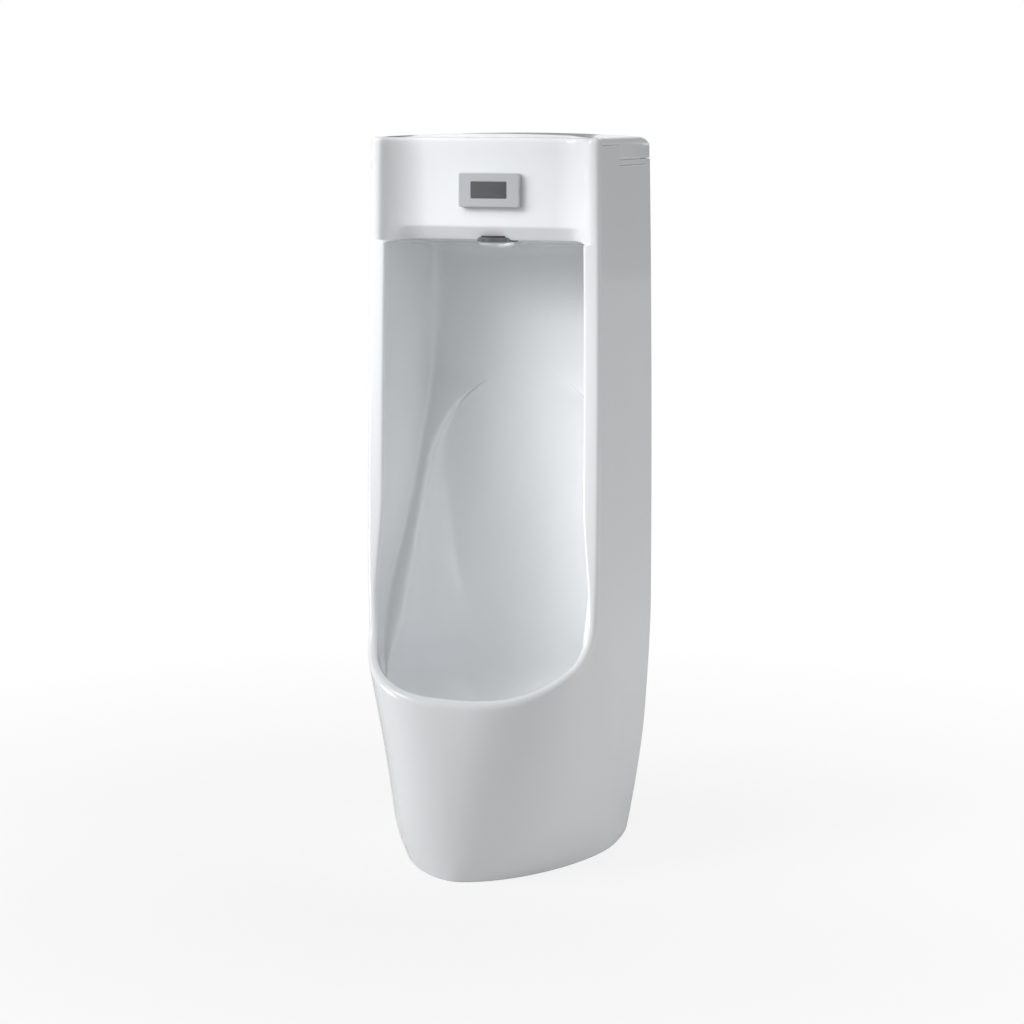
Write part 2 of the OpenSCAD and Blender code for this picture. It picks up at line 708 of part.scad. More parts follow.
module solenoid_coil() {
    color("black") translate([0, yw(valve_d), 0]) difference() {
        union() {
            rod_z(coil_r - 1, bonnet_top + 2.6, bonnet_top + 27);
            for (z = [bonnet_top + 2.6, bonnet_top + 24]) rod_z(coil_r, z, z + 3);
            translate([-coil_r, 0, bonnet_top + 14]) cube([6, 12, 14], center = true);
        }
        rod_z(6.1, bonnet_top, bonnet_top + 40);
    }
}

module plunger() {
    color("silver") translate([0, yw(valve_d), 0])
        rod_z(4, bonnet_top - 2.9, bonnet_top + 19);
}

module plunger_spring() {
    color("silver") translate([0, yw(valve_d), 0]) difference() {
        rod_z(3.4, bonnet_top + 19, guide_top - 2);
        rod_z(2.2, bonnet_top + 18, guide_top - 1);
    }
}

module flow_screw() {
    color("silver") translate([0, yw(valve_d), elbow_z]) difference() {
        union() {
            rod_x(3, -valve_r - 6, -valve_r + 14);
            rod_x(5, -valve_r - 9.3, -valve_r - 6.3);
            rod_x(3, -valve_r - 7, -valve_r - 5);
        }
        translate([-valve_r - 10, -6, -0.6]) cube([2, 12, 1.2]);
    }
}

module inlet_strainer() {
    color("silver") translate([0, yw(valve_d), inlet_z]) difference() {
        rod_x(6.9, piston_r + 6, branch_end - 1);
        rod_x(6.1, piston_r + 7, branch_end);
        for (x = [piston_r + 11:5:branch_end - 5]) for (a = [0:60:300])
            rotate([a, 0, 0]) translate([x, 0, 0]) rod_z(1.2, 5, 8);
    }
}

module hose_nut() {
    difference() {
        rotate([0, 90, 0]) cylinder(r = 14.5, h = 13, $fn = 6);
        rod_x(inlet_r + 0.05, -1, 9);
        rod_x(hose_r + 0.3, 0, 14);
    }
}

module hose_nuts() {
    color("silver") {
        translate([branch_end - 8, yw(valve_d), inlet_z]) hose_nut();
        translate([inlet_x, yw(stop_d - 14), inlet_z]) rotate([0, 0, -90]) hose_nut();
    }
}

module supply_hose() {
    color("silver") translate([0, 0, inlet_z]) difference() {
        union() {
            translate([0, yw(valve_d), 0]) rod_x(hose_r, branch_end + 0.1, hose_bend_x);
            translate([hose_bend_x, yw(stop_d), 0]) rotate([0, 0, -90]) rotate_extrude(angle = 90)
                translate([hose_bend, 0]) circle(r = hose_r);
            translate([inlet_x, 0, 0]) rod_d(hose_r, stop_d - 5.9, stop_d);
        }
        translate([0, yw(valve_d), 0]) rod_x(hose_r - 2, branch_end, hose_bend_x);
        translate([hose_bend_x, yw(stop_d), 0]) rotate([0, 0, -90]) rotate_extrude(angle = 90)
            translate([hose_bend, 0]) circle(r = hose_r - 2);
        translate([inlet_x, 0, 0]) rod_d(hose_r - 2, stop_d - 7, stop_d);
    }
}

module stop_valve_body() {
    color("silver") translate([inlet_x, 0, inlet_z]) difference() {
        union() {
            rod_d(inlet_r, 0, stop_d - 6);
            translate([0, yw(24), 0]) sphere(r = 14);
            translate([0, yw(24), 0]) rod_z(6, 0, lever_z - inlet_z - 0.3);
            rod_d(13, 10, 15);
        }
        rod_d(6, -1, stop_d);
        translate([0, yw(24), 0]) {
            sphere(r = 9.6);
            rod_z(3.05, 0, lever_z);
        }
    }
}

module stop_valve_ball() {
    color("silver") translate([inlet_x, yw(24), inlet_z]) difference() {
        union() {
            sphere(r = 9.5);
            rod_z(3, 0, lever_z - inlet_z + 4);
        }
        translate([0, -12, 0]) rotate([-90, 0, 0]) cylinder(r = 6, h = 24);
    }
}

module stop_lever() {
    color("royalblue") translate([inlet_x, yw(24), 0]) difference() {
        union() {
            rod_z(7.5, lever_z, lever_z + 6);
            translate([-4.5, -lever_l, lever_z + 2]) cube([9, lever_l, 4]);
            translate([0, -lever_l, 0]) rod_z(4.5, lever_z + 2, lever_z + 6);
        }
        rod_z(3.05, lever_z - 1, lever_z + 4.05);
        rod_z(1.8, lever_z, lever_z + 7);
    }
}

module lever_screw() {
    color("silver") translate([inlet_x, yw(24), 0]) union() {
        rod_z(1.7, lever_z + 4, lever_z + 6.5);
        rod_z(3.4, lever_z + 6, lever_z + 8);
    }
}

module box_shell(x, d, w, l, h, t) {
    difference() {
        block([x - w / 2, d - l / 2, chamber_z], [x + w / 2, d + l / 2, chamber_z + h]);
        block([x - w / 2 + t, d - l / 2 + t, chamber_z + t], [x + w / 2 - t, d + l / 2 - t, chamber_z + h + 1]);
    }
}

module battery_box() {
    color("dimgray") difference() {
        box_shell(battery_x, battery_d, box_w, box_l, box_h, 2);
        translate([battery_x + box_w / 2, yw(battery_d), chamber_z + 12]) rod_x(2.1, -3, 1);
    }
}

module battery_cover() {
    color("dimgray") block([battery_x - box_w / 2, battery_d - box_l / 2, chamber_z + box_h],
                           [battery_x + box_w / 2, battery_d + box_l / 2, chamber_z + box_h + 2.5]);
}

module batteries() {
    color("orange") for (i = [0:3]) translate([battery_x + (i - 1.5) * (2 * cell_r + 0.4), 0,
                                               chamber_z + 2 + cell_r]) {
        rod_d(cell_r, battery_d - cell_l / 2, battery_d + cell_l / 2);
        rod_d(2.6, battery_d - cell_l / 2 - 1, battery_d + cell_l / 2 + 1);
    }
}

module control_box() {
    color("dimgray") difference() {
        box_shell(control_x, control_d, control_w, control_l, control_h, 2);
        translate([control_x - control_w / 2, yw(control_d), chamber_z + 12]) rod_x(2.1, -1, 3);
        translate([control_x, 0, chamber_z + 14]) rod_d(2.1, control_d + control_l / 2 - 3, control_d + control_l);
    }
}

module control_cover() {
    color("dimgray") difference() {
        block([control_x - control_w / 2, control_d - control_l / 2, chamber_z + control_h],
              [control_x + control_w / 2, control_d + control_l / 2, chamber_z + control_h + 2.5]);
        translate([control_x, yw(control_d), 0]) rod_z(2.1, chamber_z, chamber_z + control_h + 3);
    }
}

module control_board() {
    color("darkgreen") {
        block([control_x - 16.5, control_d - 27.5, chamber_z + 5], [control_x + 16.5, control_d + 27.5, chamber_z + 6.6]);
        for (s = [-1, 1]) block([control_x + 12 * s - 3, control_d - 20, chamber_z + 2],
                                [control_x + 12 * s + 3, control_d - 14, chamber_z + 5]);
        block([control_x - 6, control_d - 5, chamber_z + 6.6], [control_x + 6, control_d + 9, chamber_z + 9]);
    }
}

module sensor_cable() {
    a = [-18, yw(panel_d - 29.6), sensor_z];
    b = [control_x, yw(control_d + control_l / 2 - 3), chamber_z + 14];
    color("black") cable(concat([a], hermite(a + [0, 4, 0], [0, 40, 0], b + [0, -8, 0], [0, 40, 0], 12), [b]), 2);
}

module valve_cable() {
    a = [-coil_r - 3, yw(valve_d), bonnet_top + 14];
    b = [control_x, yw(control_d), chamber_z + control_h - 1];
    color("black") cable(concat([a], hermite(a + [-4, 0, 0], [-40, 0, 0], b + [0, 0, 6], [0, 0, -30], 10), [b]), 2);
}

module battery_cable() {
    a = [battery_x + box_w / 2 - 1, yw(battery_d), chamber_z + 12];
    b = [control_x - control_w / 2 + 1, yw(control_d), chamber_z + 12];
    color("black") cable(concat([a], hermite(a + [2, 0, 0], [4, 0, 8], b - [2, 0, 0], [4, 0, -8], 6), [b]), 2);
}

module drain_flange() {
    color("silver") translate([0, yw(drain_d), 0]) difference() {
        union() {
            rod_z(strainer_r + 2, drain_floor_z, drain_floor_z + 2.5);
            rod_z(waste_r, trap_top + 8, drain_floor_z + 1);
        }
        rod_z(waste_r - 2.5, trap_top + 7, drain_floor_z + 3);
    }
}

module drain_strainer() {
    base = drain_floor_z + 2.8;
    color("silver") translate([0, yw(drain_d), 0]) difference() {
        union() {
            rotate_extrude() polygon(concat([[0, base], [strainer_r, base], [strainer_r, base + 1.5]],
                [for (i = [1:6]) let (a = 15 * i) [strainer_r * cos(a), base + 1.5 + 5 * sin(a)]]));
            rotate_extrude() polygon([[waste_r - 5, base - 9], [waste_r - 3.2, base - 9],
                                      [waste_r - 3.2, base + 1], [waste_r - 5, base + 1]]);
        }
        for (a = [0:60:300]) rotate([0, 0, a]) translate([8, 0, 0]) rod_z(2.4, base - 1, base + 8);
        for (a = [0:30:330]) rotate([0, 0, a + 15]) translate([waste_r - 7.8, 0, 0]) rod_z(2.2, base - 1, base + 8);
        rod_z(2.4, base - 1, base + 8);
    }
}

module drain_gasket() {
    color("black") translate([0, yw(drain_d), 0]) difference() {
        rod_z(32, boss_z - 3, boss_z);
        rod_z(waste_r + 0.3, boss_z - 4, boss_z + 1);
    }
}

module drain_nut() {
    color("silver") translate([0, yw(drain_d), 0]) difference() {
        union() {
            rod_z(30, boss_z - 6, boss_z - 3);
            translate([0, 0, boss_z - 14]) cylinder(r = 28, h = 10, $fn = 8);
        }
        rod_z(waste_r + 0.05, boss_z - 15, boss_z);
    }
}

// A hollow round tube bent in the plane z = 0 about the origin
module bent_tube(bend, r, t, angle) {
    rotate_extrude(angle = angle) translate([bend, 0]) difference() {
        circle(r = r);
        circle(r = r - t);
    }
}

module straight_tube(r, t, length) {
    difference() {
        cylinder(r = r, h = length);
        translate([0, 0, -1]) cylinder(r = r - t, h = length + 2);
    }
}

module trap_pipe() {
    t = 2.5;
    color("whitesmoke") union() {
        translate([0, yw(drain_d), trap_top]) difference() {
            rod_z(waste_r + 3, 0, 22);
            rod_z(waste_r - t, -1, 23);
            rod_z(waste_r + 0.05, 7.9, 23);
        }
        translate([0, yw(drain_d - trap_bend), trap_top]) rotate([0, 90, 0]) rotate([0, 0, -90])
            bent_tube(trap_bend, waste_r, t, 180);
        translate([0, yw(riser_d), trap_top]) straight_tube(waste_r, t, waste_z - outlet_bend - trap_top);
        translate([0, yw(riser_d - outlet_bend), waste_z - outlet_bend]) rotate([0, 90, 0]) rotate([0, 0, 180])
            bent_tube(outlet_bend, waste_r, t, 90);
        translate([0, yw(riser_d - outlet_bend), waste_z]) rotate([-90, 0, 0])
            straight_tube(waste_r, t, riser_d - outlet_bend);
    }
}

module trap_nut() {
    color("whitesmoke") translate([0, yw(drain_d), 0]) difference() {
        rod_z(waste_r + 8, trap_top + 12, trap_top + 26);
        rod_z(waste_r + 3.05, trap_top + 11, trap_top + 22.1);
        rod_z(waste_r + 0.05, trap_top + 20, trap_top + 27);
    }
}

module wall_seal() {
    color("dimgray") translate([0, 0, waste_z]) difference() {
        union() {
            rod_d(seal_r, 0, 14);
            rod_d(seal_r + 4, 14, 18);
        }
        rod_d(waste_r + 0.05, -1, 19);
    }
}

module wall_cleats() {
    color("silver") for (s = [-1, 1]) translate([s * cleat_x, 0, 0]) difference() {
        union() {
            block([-cleat_w / 2, 0, rib_z - cleat_h], [cleat_w / 2, cleat_t, rib_z]);
            block([-cleat_w / 2, 0, rib_z - cleat_t], [cleat_w / 2, cleat_reach, rib_z]);
        }
        translate([0, yw(cleat_bolt_d), 0]) rod_z(3.3, rib_z - 10, rib_z + 1);
        for (z = [rib_z - 20 - cleat_pitch, rib_z - 20]) translate([0, 0, z]) rod_d(4.5, -1, cleat_t + 1);
    }
}

module cleat_bolts() {
    color("silver") for (s = [-1, 1]) translate([s * cleat_x, yw(cleat_bolt_d), 0]) {
        rod_z(3, rib_z - cleat_t - 1, rib_z + rib_t + 8);
        translate([0, 0, rib_z - cleat_t - 4.2]) cylinder(r = 5.7, h = 4, $fn = 6);
    }
}

module cleat_nuts() {
    color("silver") for (s = [-1, 1]) translate([s * cleat_x, yw(cleat_bolt_d), 0]) difference() {
        union() {
            translate([0, 0, rib_z + rib_t + 1.2]) cylinder(r = 5.7, h = 5, $fn = 6);
            rod_z(8, rib_z + rib_t, rib_z + rib_t + 1.2);
        }
        rod_z(3.05, rib_z, rib_z + rib_t + 10);
    }
}

ceramic_body();
top_lid();
lid_seat_strips();
sensor_plate();
sensor_window();
sensor_gasket();
sensor_housing();
sensor_board();
sensor_diodes();
sensor_screws();
spreader_cap();
spreader_gasket();
spreader_stem();
spreader_washer();
spreader_nut();
flush_elbow();
flush_pipe();
valve_body();
piston();
piston_seal();
piston_spring();
valve_bonnet();
bonnet_screws();
solenoid_coil();
plunger();
plunger_spring();
flow_screw();
inlet_strainer();
hose_nuts();
supply_hose();
stop_valve_body();
stop_valve_ball();
stop_lever();
lever_screw();
battery_box();
battery_cover();
batteries();
control_box();
control_cover();
control_board();
sensor_cable();
valve_cable();
battery_cable();
drain_strainer();
drain_flange();
drain_gasket();
drain_nut();
trap_pipe();
trap_nut();
wall_seal();
wall_cleats();
cleat_bolts();
cleat_nuts();
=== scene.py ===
"""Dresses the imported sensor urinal: glazed ceramic, lid, sensor, chrome and the parts behind them."""

from __future__ import annotations

import json
import logging
import math
from dataclasses import dataclass, field
from enum import Enum, IntEnum
from typing import Any

import bpy
import numpy as np
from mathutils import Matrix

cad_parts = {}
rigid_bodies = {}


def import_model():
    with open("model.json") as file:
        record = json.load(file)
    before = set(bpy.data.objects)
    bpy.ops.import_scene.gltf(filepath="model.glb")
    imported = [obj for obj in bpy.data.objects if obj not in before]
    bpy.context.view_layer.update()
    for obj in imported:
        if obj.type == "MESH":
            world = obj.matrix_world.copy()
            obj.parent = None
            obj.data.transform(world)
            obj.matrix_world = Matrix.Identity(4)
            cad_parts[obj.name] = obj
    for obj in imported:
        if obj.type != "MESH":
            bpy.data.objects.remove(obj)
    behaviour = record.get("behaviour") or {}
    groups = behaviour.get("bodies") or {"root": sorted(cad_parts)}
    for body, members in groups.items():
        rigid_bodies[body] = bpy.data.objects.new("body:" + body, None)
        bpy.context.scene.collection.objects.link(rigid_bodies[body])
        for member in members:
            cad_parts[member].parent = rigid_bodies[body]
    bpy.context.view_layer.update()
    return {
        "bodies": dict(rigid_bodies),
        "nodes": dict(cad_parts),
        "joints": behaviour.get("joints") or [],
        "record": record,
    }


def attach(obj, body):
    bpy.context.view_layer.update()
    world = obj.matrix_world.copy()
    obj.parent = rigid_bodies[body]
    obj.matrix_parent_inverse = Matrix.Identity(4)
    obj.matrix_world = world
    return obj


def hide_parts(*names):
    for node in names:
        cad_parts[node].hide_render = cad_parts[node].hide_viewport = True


Array = np.ndarray
LOG = logging.getLogger("urinal")
MM = 0.001
WALL_Y = 174.0
WELD = 2e-6
WELD_SHIFT = 0.3137
TINY = 1e-9
# Heights in millimetres of a darker band painted round the chrome cap's top: painted shade, standing in for
# the dark reflection of the shaded lip above it. The next value sets how sharply that painted band fades at
# its edges.
CAP_PAINTED_SHADE_BAND = (857.0, 868.0)
PAINTED_SHADE_EDGE = 450.0
HAZE_SCALE = 240.0
BRAID_TURNS = 12.0
BRAID_RUN = 2600.0


# ---------------------------------------------------------------- meshes


def place(x: Array, d: Array, z: Array) -> Array:
    """Stacks x, depth from the wall and height, in millimetres, into points in metres.

    Args:
        x: Sideways places.
        d: Depths from the wall plane.
        z: Heights.

    Returns:
        Points, with the last axis x, y, z.
    """
    x, d, z = np.broadcast_arrays(x, d, z)
    return np.stack([x, WALL_Y - d, z], axis=-1) * MM


def placed(rows: Array) -> Array:
    """Points in metres of rows whose last axis is x, depth and height in millimetres."""
    return place(rows[..., 0], rows[..., 1], rows[..., 2])


def ease(t: Array) -> Array:
    """Smooth step: 3t^2 - 2t^3 for t held between 0 and 1."""
    u = np.clip(t, 0.0, 1.0)
    return u * u * (3.0 - 2.0 * u)


@dataclass
class Skin:
    """A mesh gathered from grids of points, welded where their edges meet."""

    points: list[Array] = field(default_factory=list)
    walls: list[Array] = field(default_factory=list)
    quads: list[Array] = field(default_factory=list)
    count: int = 0

    def grid(
        self, points: Array, wall: Array | float = 0.0, inner: Array | None = None, flip: bool = False
    ) -> None:
        """Adds a grid as quads between neighbouring rows and columns.

        Args:
            points: Rows by columns by 3.
            wall: Wall thickness in millimetres at each point, or one for all.
            inner: The point of the wall's inner side, where it is given outright; nan elsewhere.
            flip: Turns the faces over.
        """
        rows, cols = points.shape[:2]
        quads = grid_faces(rows, cols) + self.count
        self.quads.append(quads[:, ::-1] if flip else quads)
        given = np.full(points.shape, np.nan) if inner is None else inner
        thick = np.broadcast_to(np.asarray(wall, dtype=float), points.shape[:2])[..., None] * MM
        self.points.append(points.reshape(-1, 3))
        self.walls.append(np.concatenate([thick, given], axis=-1).reshape(-1, 4))
        self.count += rows * cols

    def mirror(self) -> None:
        """Adds the same grids again on the other side of the plane x = 0."""
        flip = np.array([-1.0, 1.0, 1.0])
        points, walls, quads = list(self.points), list(self.walls), list(self.quads)
        self.quads += [q[:, ::-1] + self.count for q in quads]
        self.points += [p * flip for p in points]
        self.walls += [np.concatenate([w[:, :1], w[:, 1:] * flip], axis=1) for w in walls]
        self.count *= 2

    def welded(self) -> tuple[Array, Array, Array]:
        """Merges points that lie together and drops faces that lose their area.

        Returns:
            Points, wall rows of thickness and inner point, and faces; a triangle's last corner repeats.
        """
        points, walls = np.concatenate(self.points), np.concatenate(self.walls)
        key = np.round(points / WELD + WELD_SHIFT).astype(np.int64)
        _, first, back = np.unique(key, axis=0, return_index=True, return_inverse=True)
        back = back.reshape(-1)
        known = ~np.isnan(walls[:, 1])
        merged = walls[first].copy()
        merged[back[known]] = walls[known]
        faces = back[np.concatenate(self.quads)]
        for shift in range(3):
            same = faces[:, shift] == faces[:, shift + 1]
            faces[same, shift + 1 : 3] = faces[same, shift + 2 :]
        same = faces[:, 3] == faces[:, 0]
        faces[same, 3] = faces[same, 2]
        flat = (faces[:, 0] == faces[:, 1]) | (faces[:, 1] == faces[:, 2]) | (faces[:, 0] == faces[:, 2])
        return points[first], merged, faces[~flat]


def flipped(faces: Array) -> Array:
    """Faces turned over; a triangle keeps its last corner twice."""
    triangle = (faces[:, 2] == faces[:, 3])[:, None]
    return np.where(triangle, faces[:, [0, 2, 1, 1]], faces[:, [0, 3, 2, 1]])


def grid_faces(rows: int, cols: int) -> Array:
    """Quads between neighbouring points of a grid that is numbered row by row."""
    at = np.arange(rows * cols).reshape(rows, cols)
    return np.stack([at[:-1, :-1], at[:-1, 1:], at[1:, 1:], at[1:, :-1]], axis=-1).reshape(-1, 4)


def linked(name: str, data: bpy.types.ID) -> bpy.types.Object:
    """A new object of some data, in the scene."""
    made = bpy.data.objects.new(name, data)
    bpy.context.scene.collection.objects.link(made)
    return made


def face_normals(points: Array, faces: Array) -> Array:
    """Cross product of a face's two diagonals, so its length is twice the face's area."""
    return np.cross(points[faces[:, 2]] - points[faces[:, 0]], points[faces[:, 3]] - points[faces[:, 1]])


def volume(points: Array, faces: Array) -> float:
    """Signed volume: a sixth of the triple products of both triangles of each face, summed."""
    a, b, c, e = (points[faces[:, k]] for k in range(4))
    first, second = (np.einsum("ij,ij->i", a, np.cross(v, w)) for v, w in ((b, c), (c, e)))
    return float((first + second).sum() / 6.0)


def walled(points: Array, walls: Array, faces: Array) -> tuple[Array, Array]:
    """Gives an open skin its wall: a second skin inside, and a band that joins both along the open edges.

    A point's inner partner is the point less its normal times the thickness, unless it is given outright.

    Args:
        points: The outer skin.
        walls: Thickness and given inner point of each.
        faces: The outer skin's faces, normals outwards.

    Returns:
        Points and faces of the closed shell.
    """
    normals = np.zeros_like(points)
    crossed = face_normals(points, faces)
    for corner in range(4):
        np.add.at(normals, faces[:, corner], crossed)
    normals /= np.maximum(np.linalg.norm(normals, axis=1, keepdims=True), 1e-12)
    inner = np.where(np.isnan(walls[:, 1:]), points - normals * walls[:, :1], walls[:, 1:])
    edges = np.concatenate([np.stack([faces[:, k], faces[:, (k + 1) % 4]], axis=1) for k in range(4)])
    edges = edges[edges[:, 0] != edges[:, 1]]
    key = np.sort(edges, axis=1)
    _, index, counts = np.unique(key, axis=0, return_index=True, return_counts=True)
    rim = edges[index[counts == 1]]
    n = len(points)
    band = np.stack([rim[:, 1], rim[:, 0], rim[:, 0] + n, rim[:, 1] + n], axis=1)
    return np.concatenate([points, inner]), np.concatenate([faces, flipped(faces) + n, band])


def put_mesh(name: str, points: Array, faces: Array, sharp: float = 38.0) -> bpy.types.Object:
    """Makes an object of points and faces; a face whose third and fourth corners agree is a triangle.

    Args:
        name: The object's name.
        points: Its points in metres.
        faces: Four corners a face.
        sharp: Angle in degrees above which an edge stays sharp.

    Returns:
        The new object, its faces outwards.
    """
    if volume(points, faces) < 0:
        faces = flipped(faces)
    sizes = np.where(faces[:, 2] == faces[:, 3], 3, 4)
    starts = np.concatenate([[0], np.cumsum(sizes)[:-1]])
    keep = np.ones(faces.shape, dtype=bool)
    keep[:, 3] = sizes == 4
    mesh = bpy.data.meshes.new(name)
    mesh.vertices.add(len(points))
    mesh.vertices.foreach_set("co", points.astype(np.float32).ravel())
    mesh.loops.add(int(sizes.sum()))
    mesh.loops.foreach_set("vertex_index", faces[keep].astype(np.int32))
    mesh.polygons.add(len(faces))
    mesh.polygons.foreach_set("loop_start", starts.astype(np.int32))
    mesh.update(calc_edges=True)
    mesh.validate()
    mesh.shade_smooth()
    mesh.set_sharp_from_angle(angle=math.radians(sharp))
    return linked(name, mesh)


def stacked(name: str, rings: list[Array], sharp: float = 38.0) -> bpy.types.Object:
    """Makes a closed solid of rings of equal length; the two end rings are closed to their middles.

    Args:
        name: The object's name.
        rings: Closed rings of points in metres, in order.
        sharp: Angle in degrees above which an edge stays sharp.

    Returns:
        The new object.
    """
    ends = [np.broadcast_to(r.mean(axis=0), r.shape) for r in (rings[0], rings[-1])]
    grid = np.stack([ends[0], *rings, ends[1]])
    skin = Skin()
    skin.grid(np.concatenate([grid, grid[:, :1]], axis=1))
    points, _, faces = skin.welded()
    return put_mesh(name, points, faces, sharp)


def joined(name: str, parts: list[bpy.types.Object]) -> bpy.types.Object:
    """Joins several new objects into one under a name."""
    with bpy.context.temp_override(active_object=parts[0], selected_editable_objects=parts):
        bpy.ops.object.join()
    parts[0].name = name
    return parts[0]


def rounded_ring(
    half_w: float, half_h: float, radius: float, inset: float, per_corner: int = 7, least_r: float = 0.15
) -> Array:
    """Outline of an upright plate with rounded corners, as sideways and upward places.

    Each corner is a quarter circle about a centre one radius in from both sides; inset draws it all in.

    Args:
        half_w: Half the width.
        half_h: Half the height.
        radius: Corner radius.
        inset: How far the outline is drawn in.
        per_corner: Points in a corner.
        least_r: Radius that a drawn-in corner keeps.

    Returns:
        Points by 2.
    """
    r = max(radius - inset, least_r)
    turn = np.linspace(0.0, math.pi / 2, per_corner)[None, :] + np.arange(4)[:, None] * math.pi / 2
    signs = np.array([[1, 1], [-1, 1], [-1, -1], [1, -1]], dtype=float)
    centre = signs * np.array([half_w - inset - r, half_h - inset - r])
    return (centre[:, None, :] + r * np.stack([np.cos(turn), np.sin(turn)], axis=-1)).reshape(-1, 2)


# ---------------------------------------------------------------- the ceramic's shape


@dataclass(frozen=True)
class Plan:
    """Outer and inner plan of the ceramic at any height, in millimetres."""

    body_h: float = 1000.0
    body_d: float = 348.0
    body_w: float = 345.0
    top_w: float = 330.0
    base_w: float = 296.0
    base_d: float = 338.0
    wide_z: float = 340.0
    base_tuck: float = 11.0
    side_d: float = 100.0
    tuck_z: float = 170.0
    square_z: float = 400.0
    base_power: float = 1.65
    foot_gain: float = 0.42
    foot_z: float = 75.0
    power_gain: float = 2.43
    lip_z: float = 249.0
    rim_w: float = 12.5
    post_w: float = 24.0
    post_fade: tuple[float, float] = (330.0, 190.0)

    def half_w(self, z: Array) -> Array:
        """Half the outer width: widest at wide_z, less by a square law above and a 1.5 power below."""
        up = np.maximum(z - self.wide_z, 0) / (self.body_h - self.wide_z)
        down = np.maximum(self.wide_z - np.maximum(z, 0), 0) / self.wide_z
        lost = (self.body_w - self.top_w) * up**2 + (self.body_w - self.base_w) * down**1.5
        return (self.body_w - lost) / 2

    def nose(self, z: Array) -> Array:
        """Depth of the nose, a straight line from the foot to the lip."""
        return self.base_d + (self.body_d - self.base_d) * z / self.lip_z

    def power(self, z: Array) -> Array:
        """Exponent of the rounded front: quick growth over the foot, then slow up to square_z."""
        foot = 1 - np.clip(z, 0, self.foot_z) / self.foot_z
        up = np.clip(z, 0, self.square_z) / self.square_z
        return self.base_power + self.foot_gain * (1 - foot**2) + self.power_gain * up**2.4

    def across(self, z: Array, d: Array, inset: Array) -> Array:
        """Half width at a height and depth: straight sides, then a superellipse quarter to the nose."""
        side = self.half_w(z) - inset
        tuck = (
            self.base_tuck
            * np.maximum(0, 1 - np.maximum(z, 0) / self.tuck_z) ** 1.5
            * (np.maximum(self.side_d - d, 0) / self.side_d) ** 2
        )
        n = self.power(z)
        t = np.clip((d - self.side_d) / (self.nose(z) - inset - self.side_d), 0, 1)
        return side * np.maximum(0, 1 - t**n) ** (1 / n) - tuck

    def side_inset(self, z: Array) -> Array:
        """Wall width between cavity and outside, from the rim's to the posts'."""
        low, run = self.post_fade
        return self.rim_w + (self.post_w - self.rim_w) * ease((z - low) / run)


def rounded_corner(a: Array, corner: Array, b: Array, t: Array, pull: float) -> Array:
    """Cubic curves from a to b, each with both handles a share of the way to its corner.

    Args:
        a: Starts, rows by 3.
        corner: Corners.
        b: Ends.
        t: Places along a curve, from 0 to 1.
        pull: The handles' share.

    Returns:
        Rows by places by 3.
    """
    t = t[None, :, None]
    h0, h1 = a + pull * (corner - a), b + pull * (corner - b)
    a, h0, h1, b = (v[:, None, :] for v in (a, h0, h1, b))
    return (1 - t) ** 3 * a + 3 * (1 - t) ** 2 * t * h0 + 3 * (1 - t) * t**2 * h1 + t**3 * b


@dataclass
class WallLine:
    """One side of the plan from a starting depth to the nose, by the share of its length."""

    plan: Plan
    start: Any
    inset: Any
    low: float
    high: float
    levels: int = 60
    samples: int = 240

    def __post_init__(self) -> None:
        """Tables the share of length against the eased depth at evenly spaced heights."""
        z = np.linspace(self.low, self.high, self.levels)[:, None]
        f = np.linspace(0, 1, self.samples)[None, :]
        d = self.depth(z, f)
        x = self.plan.across(z, d, self.inset(z))
        step = np.hypot(np.diff(x, axis=1), np.diff(d, axis=1))
        total = np.concatenate([np.zeros((self.levels, 1)), np.cumsum(step, axis=1)], axis=1)
        self.shares = total / total[:, -1:]
        self.eased = np.stack([np.interp(f[0], row, f[0]) for row in self.shares])

    def depth(self, z: Array, f: Array) -> Array:
        """Depth at an eased share f: start plus the run to the nose times 1 - (1 - f)^3."""
        start = self.start(z)
        return start + (self.plan.nose(z) - self.inset(z) - start) * (1 - (1 - f) ** 3)

    def _look(self, table: Array, z: Array, f: Array) -> Array:
        """Reads a table between its four nearest entries, in proportion."""
        row = np.clip((z - self.low) / (self.high - self.low), 0, 1) * (self.levels - 1)
        col = np.clip(f, 0, 1) * (self.samples - 1)
        r0 = np.minimum(row.astype(int), self.levels - 2)
        c0 = np.minimum(col.astype(int), self.samples - 2)
        u, v = row - r0, col - c0
        upper = table[r0, c0] * (1 - v) + table[r0, c0 + 1] * v
        lower = table[r0 + 1, c0] * (1 - v) + table[r0 + 1, c0 + 1] * v
        return upper * (1 - u) + lower * u

    def share(self, z: Array, d: Array) -> Array:
        """Share of the length at which a depth lies."""
        start = self.start(z)
        run = np.clip((d - start) / (self.plan.nose(z) - self.inset(z) - start), 0, 1)
        return self._look(self.shares, z, 1 - (1 - run) ** (1 / 3))

    def at(self, z: Array, share: Array) -> tuple[Array, Array]:
        """Sideways place and depth at a share of the length."""
        d = self.depth(z, self._look(self.eased, z, share))
        return self.plan.across(z, d, self.inset(z)), d


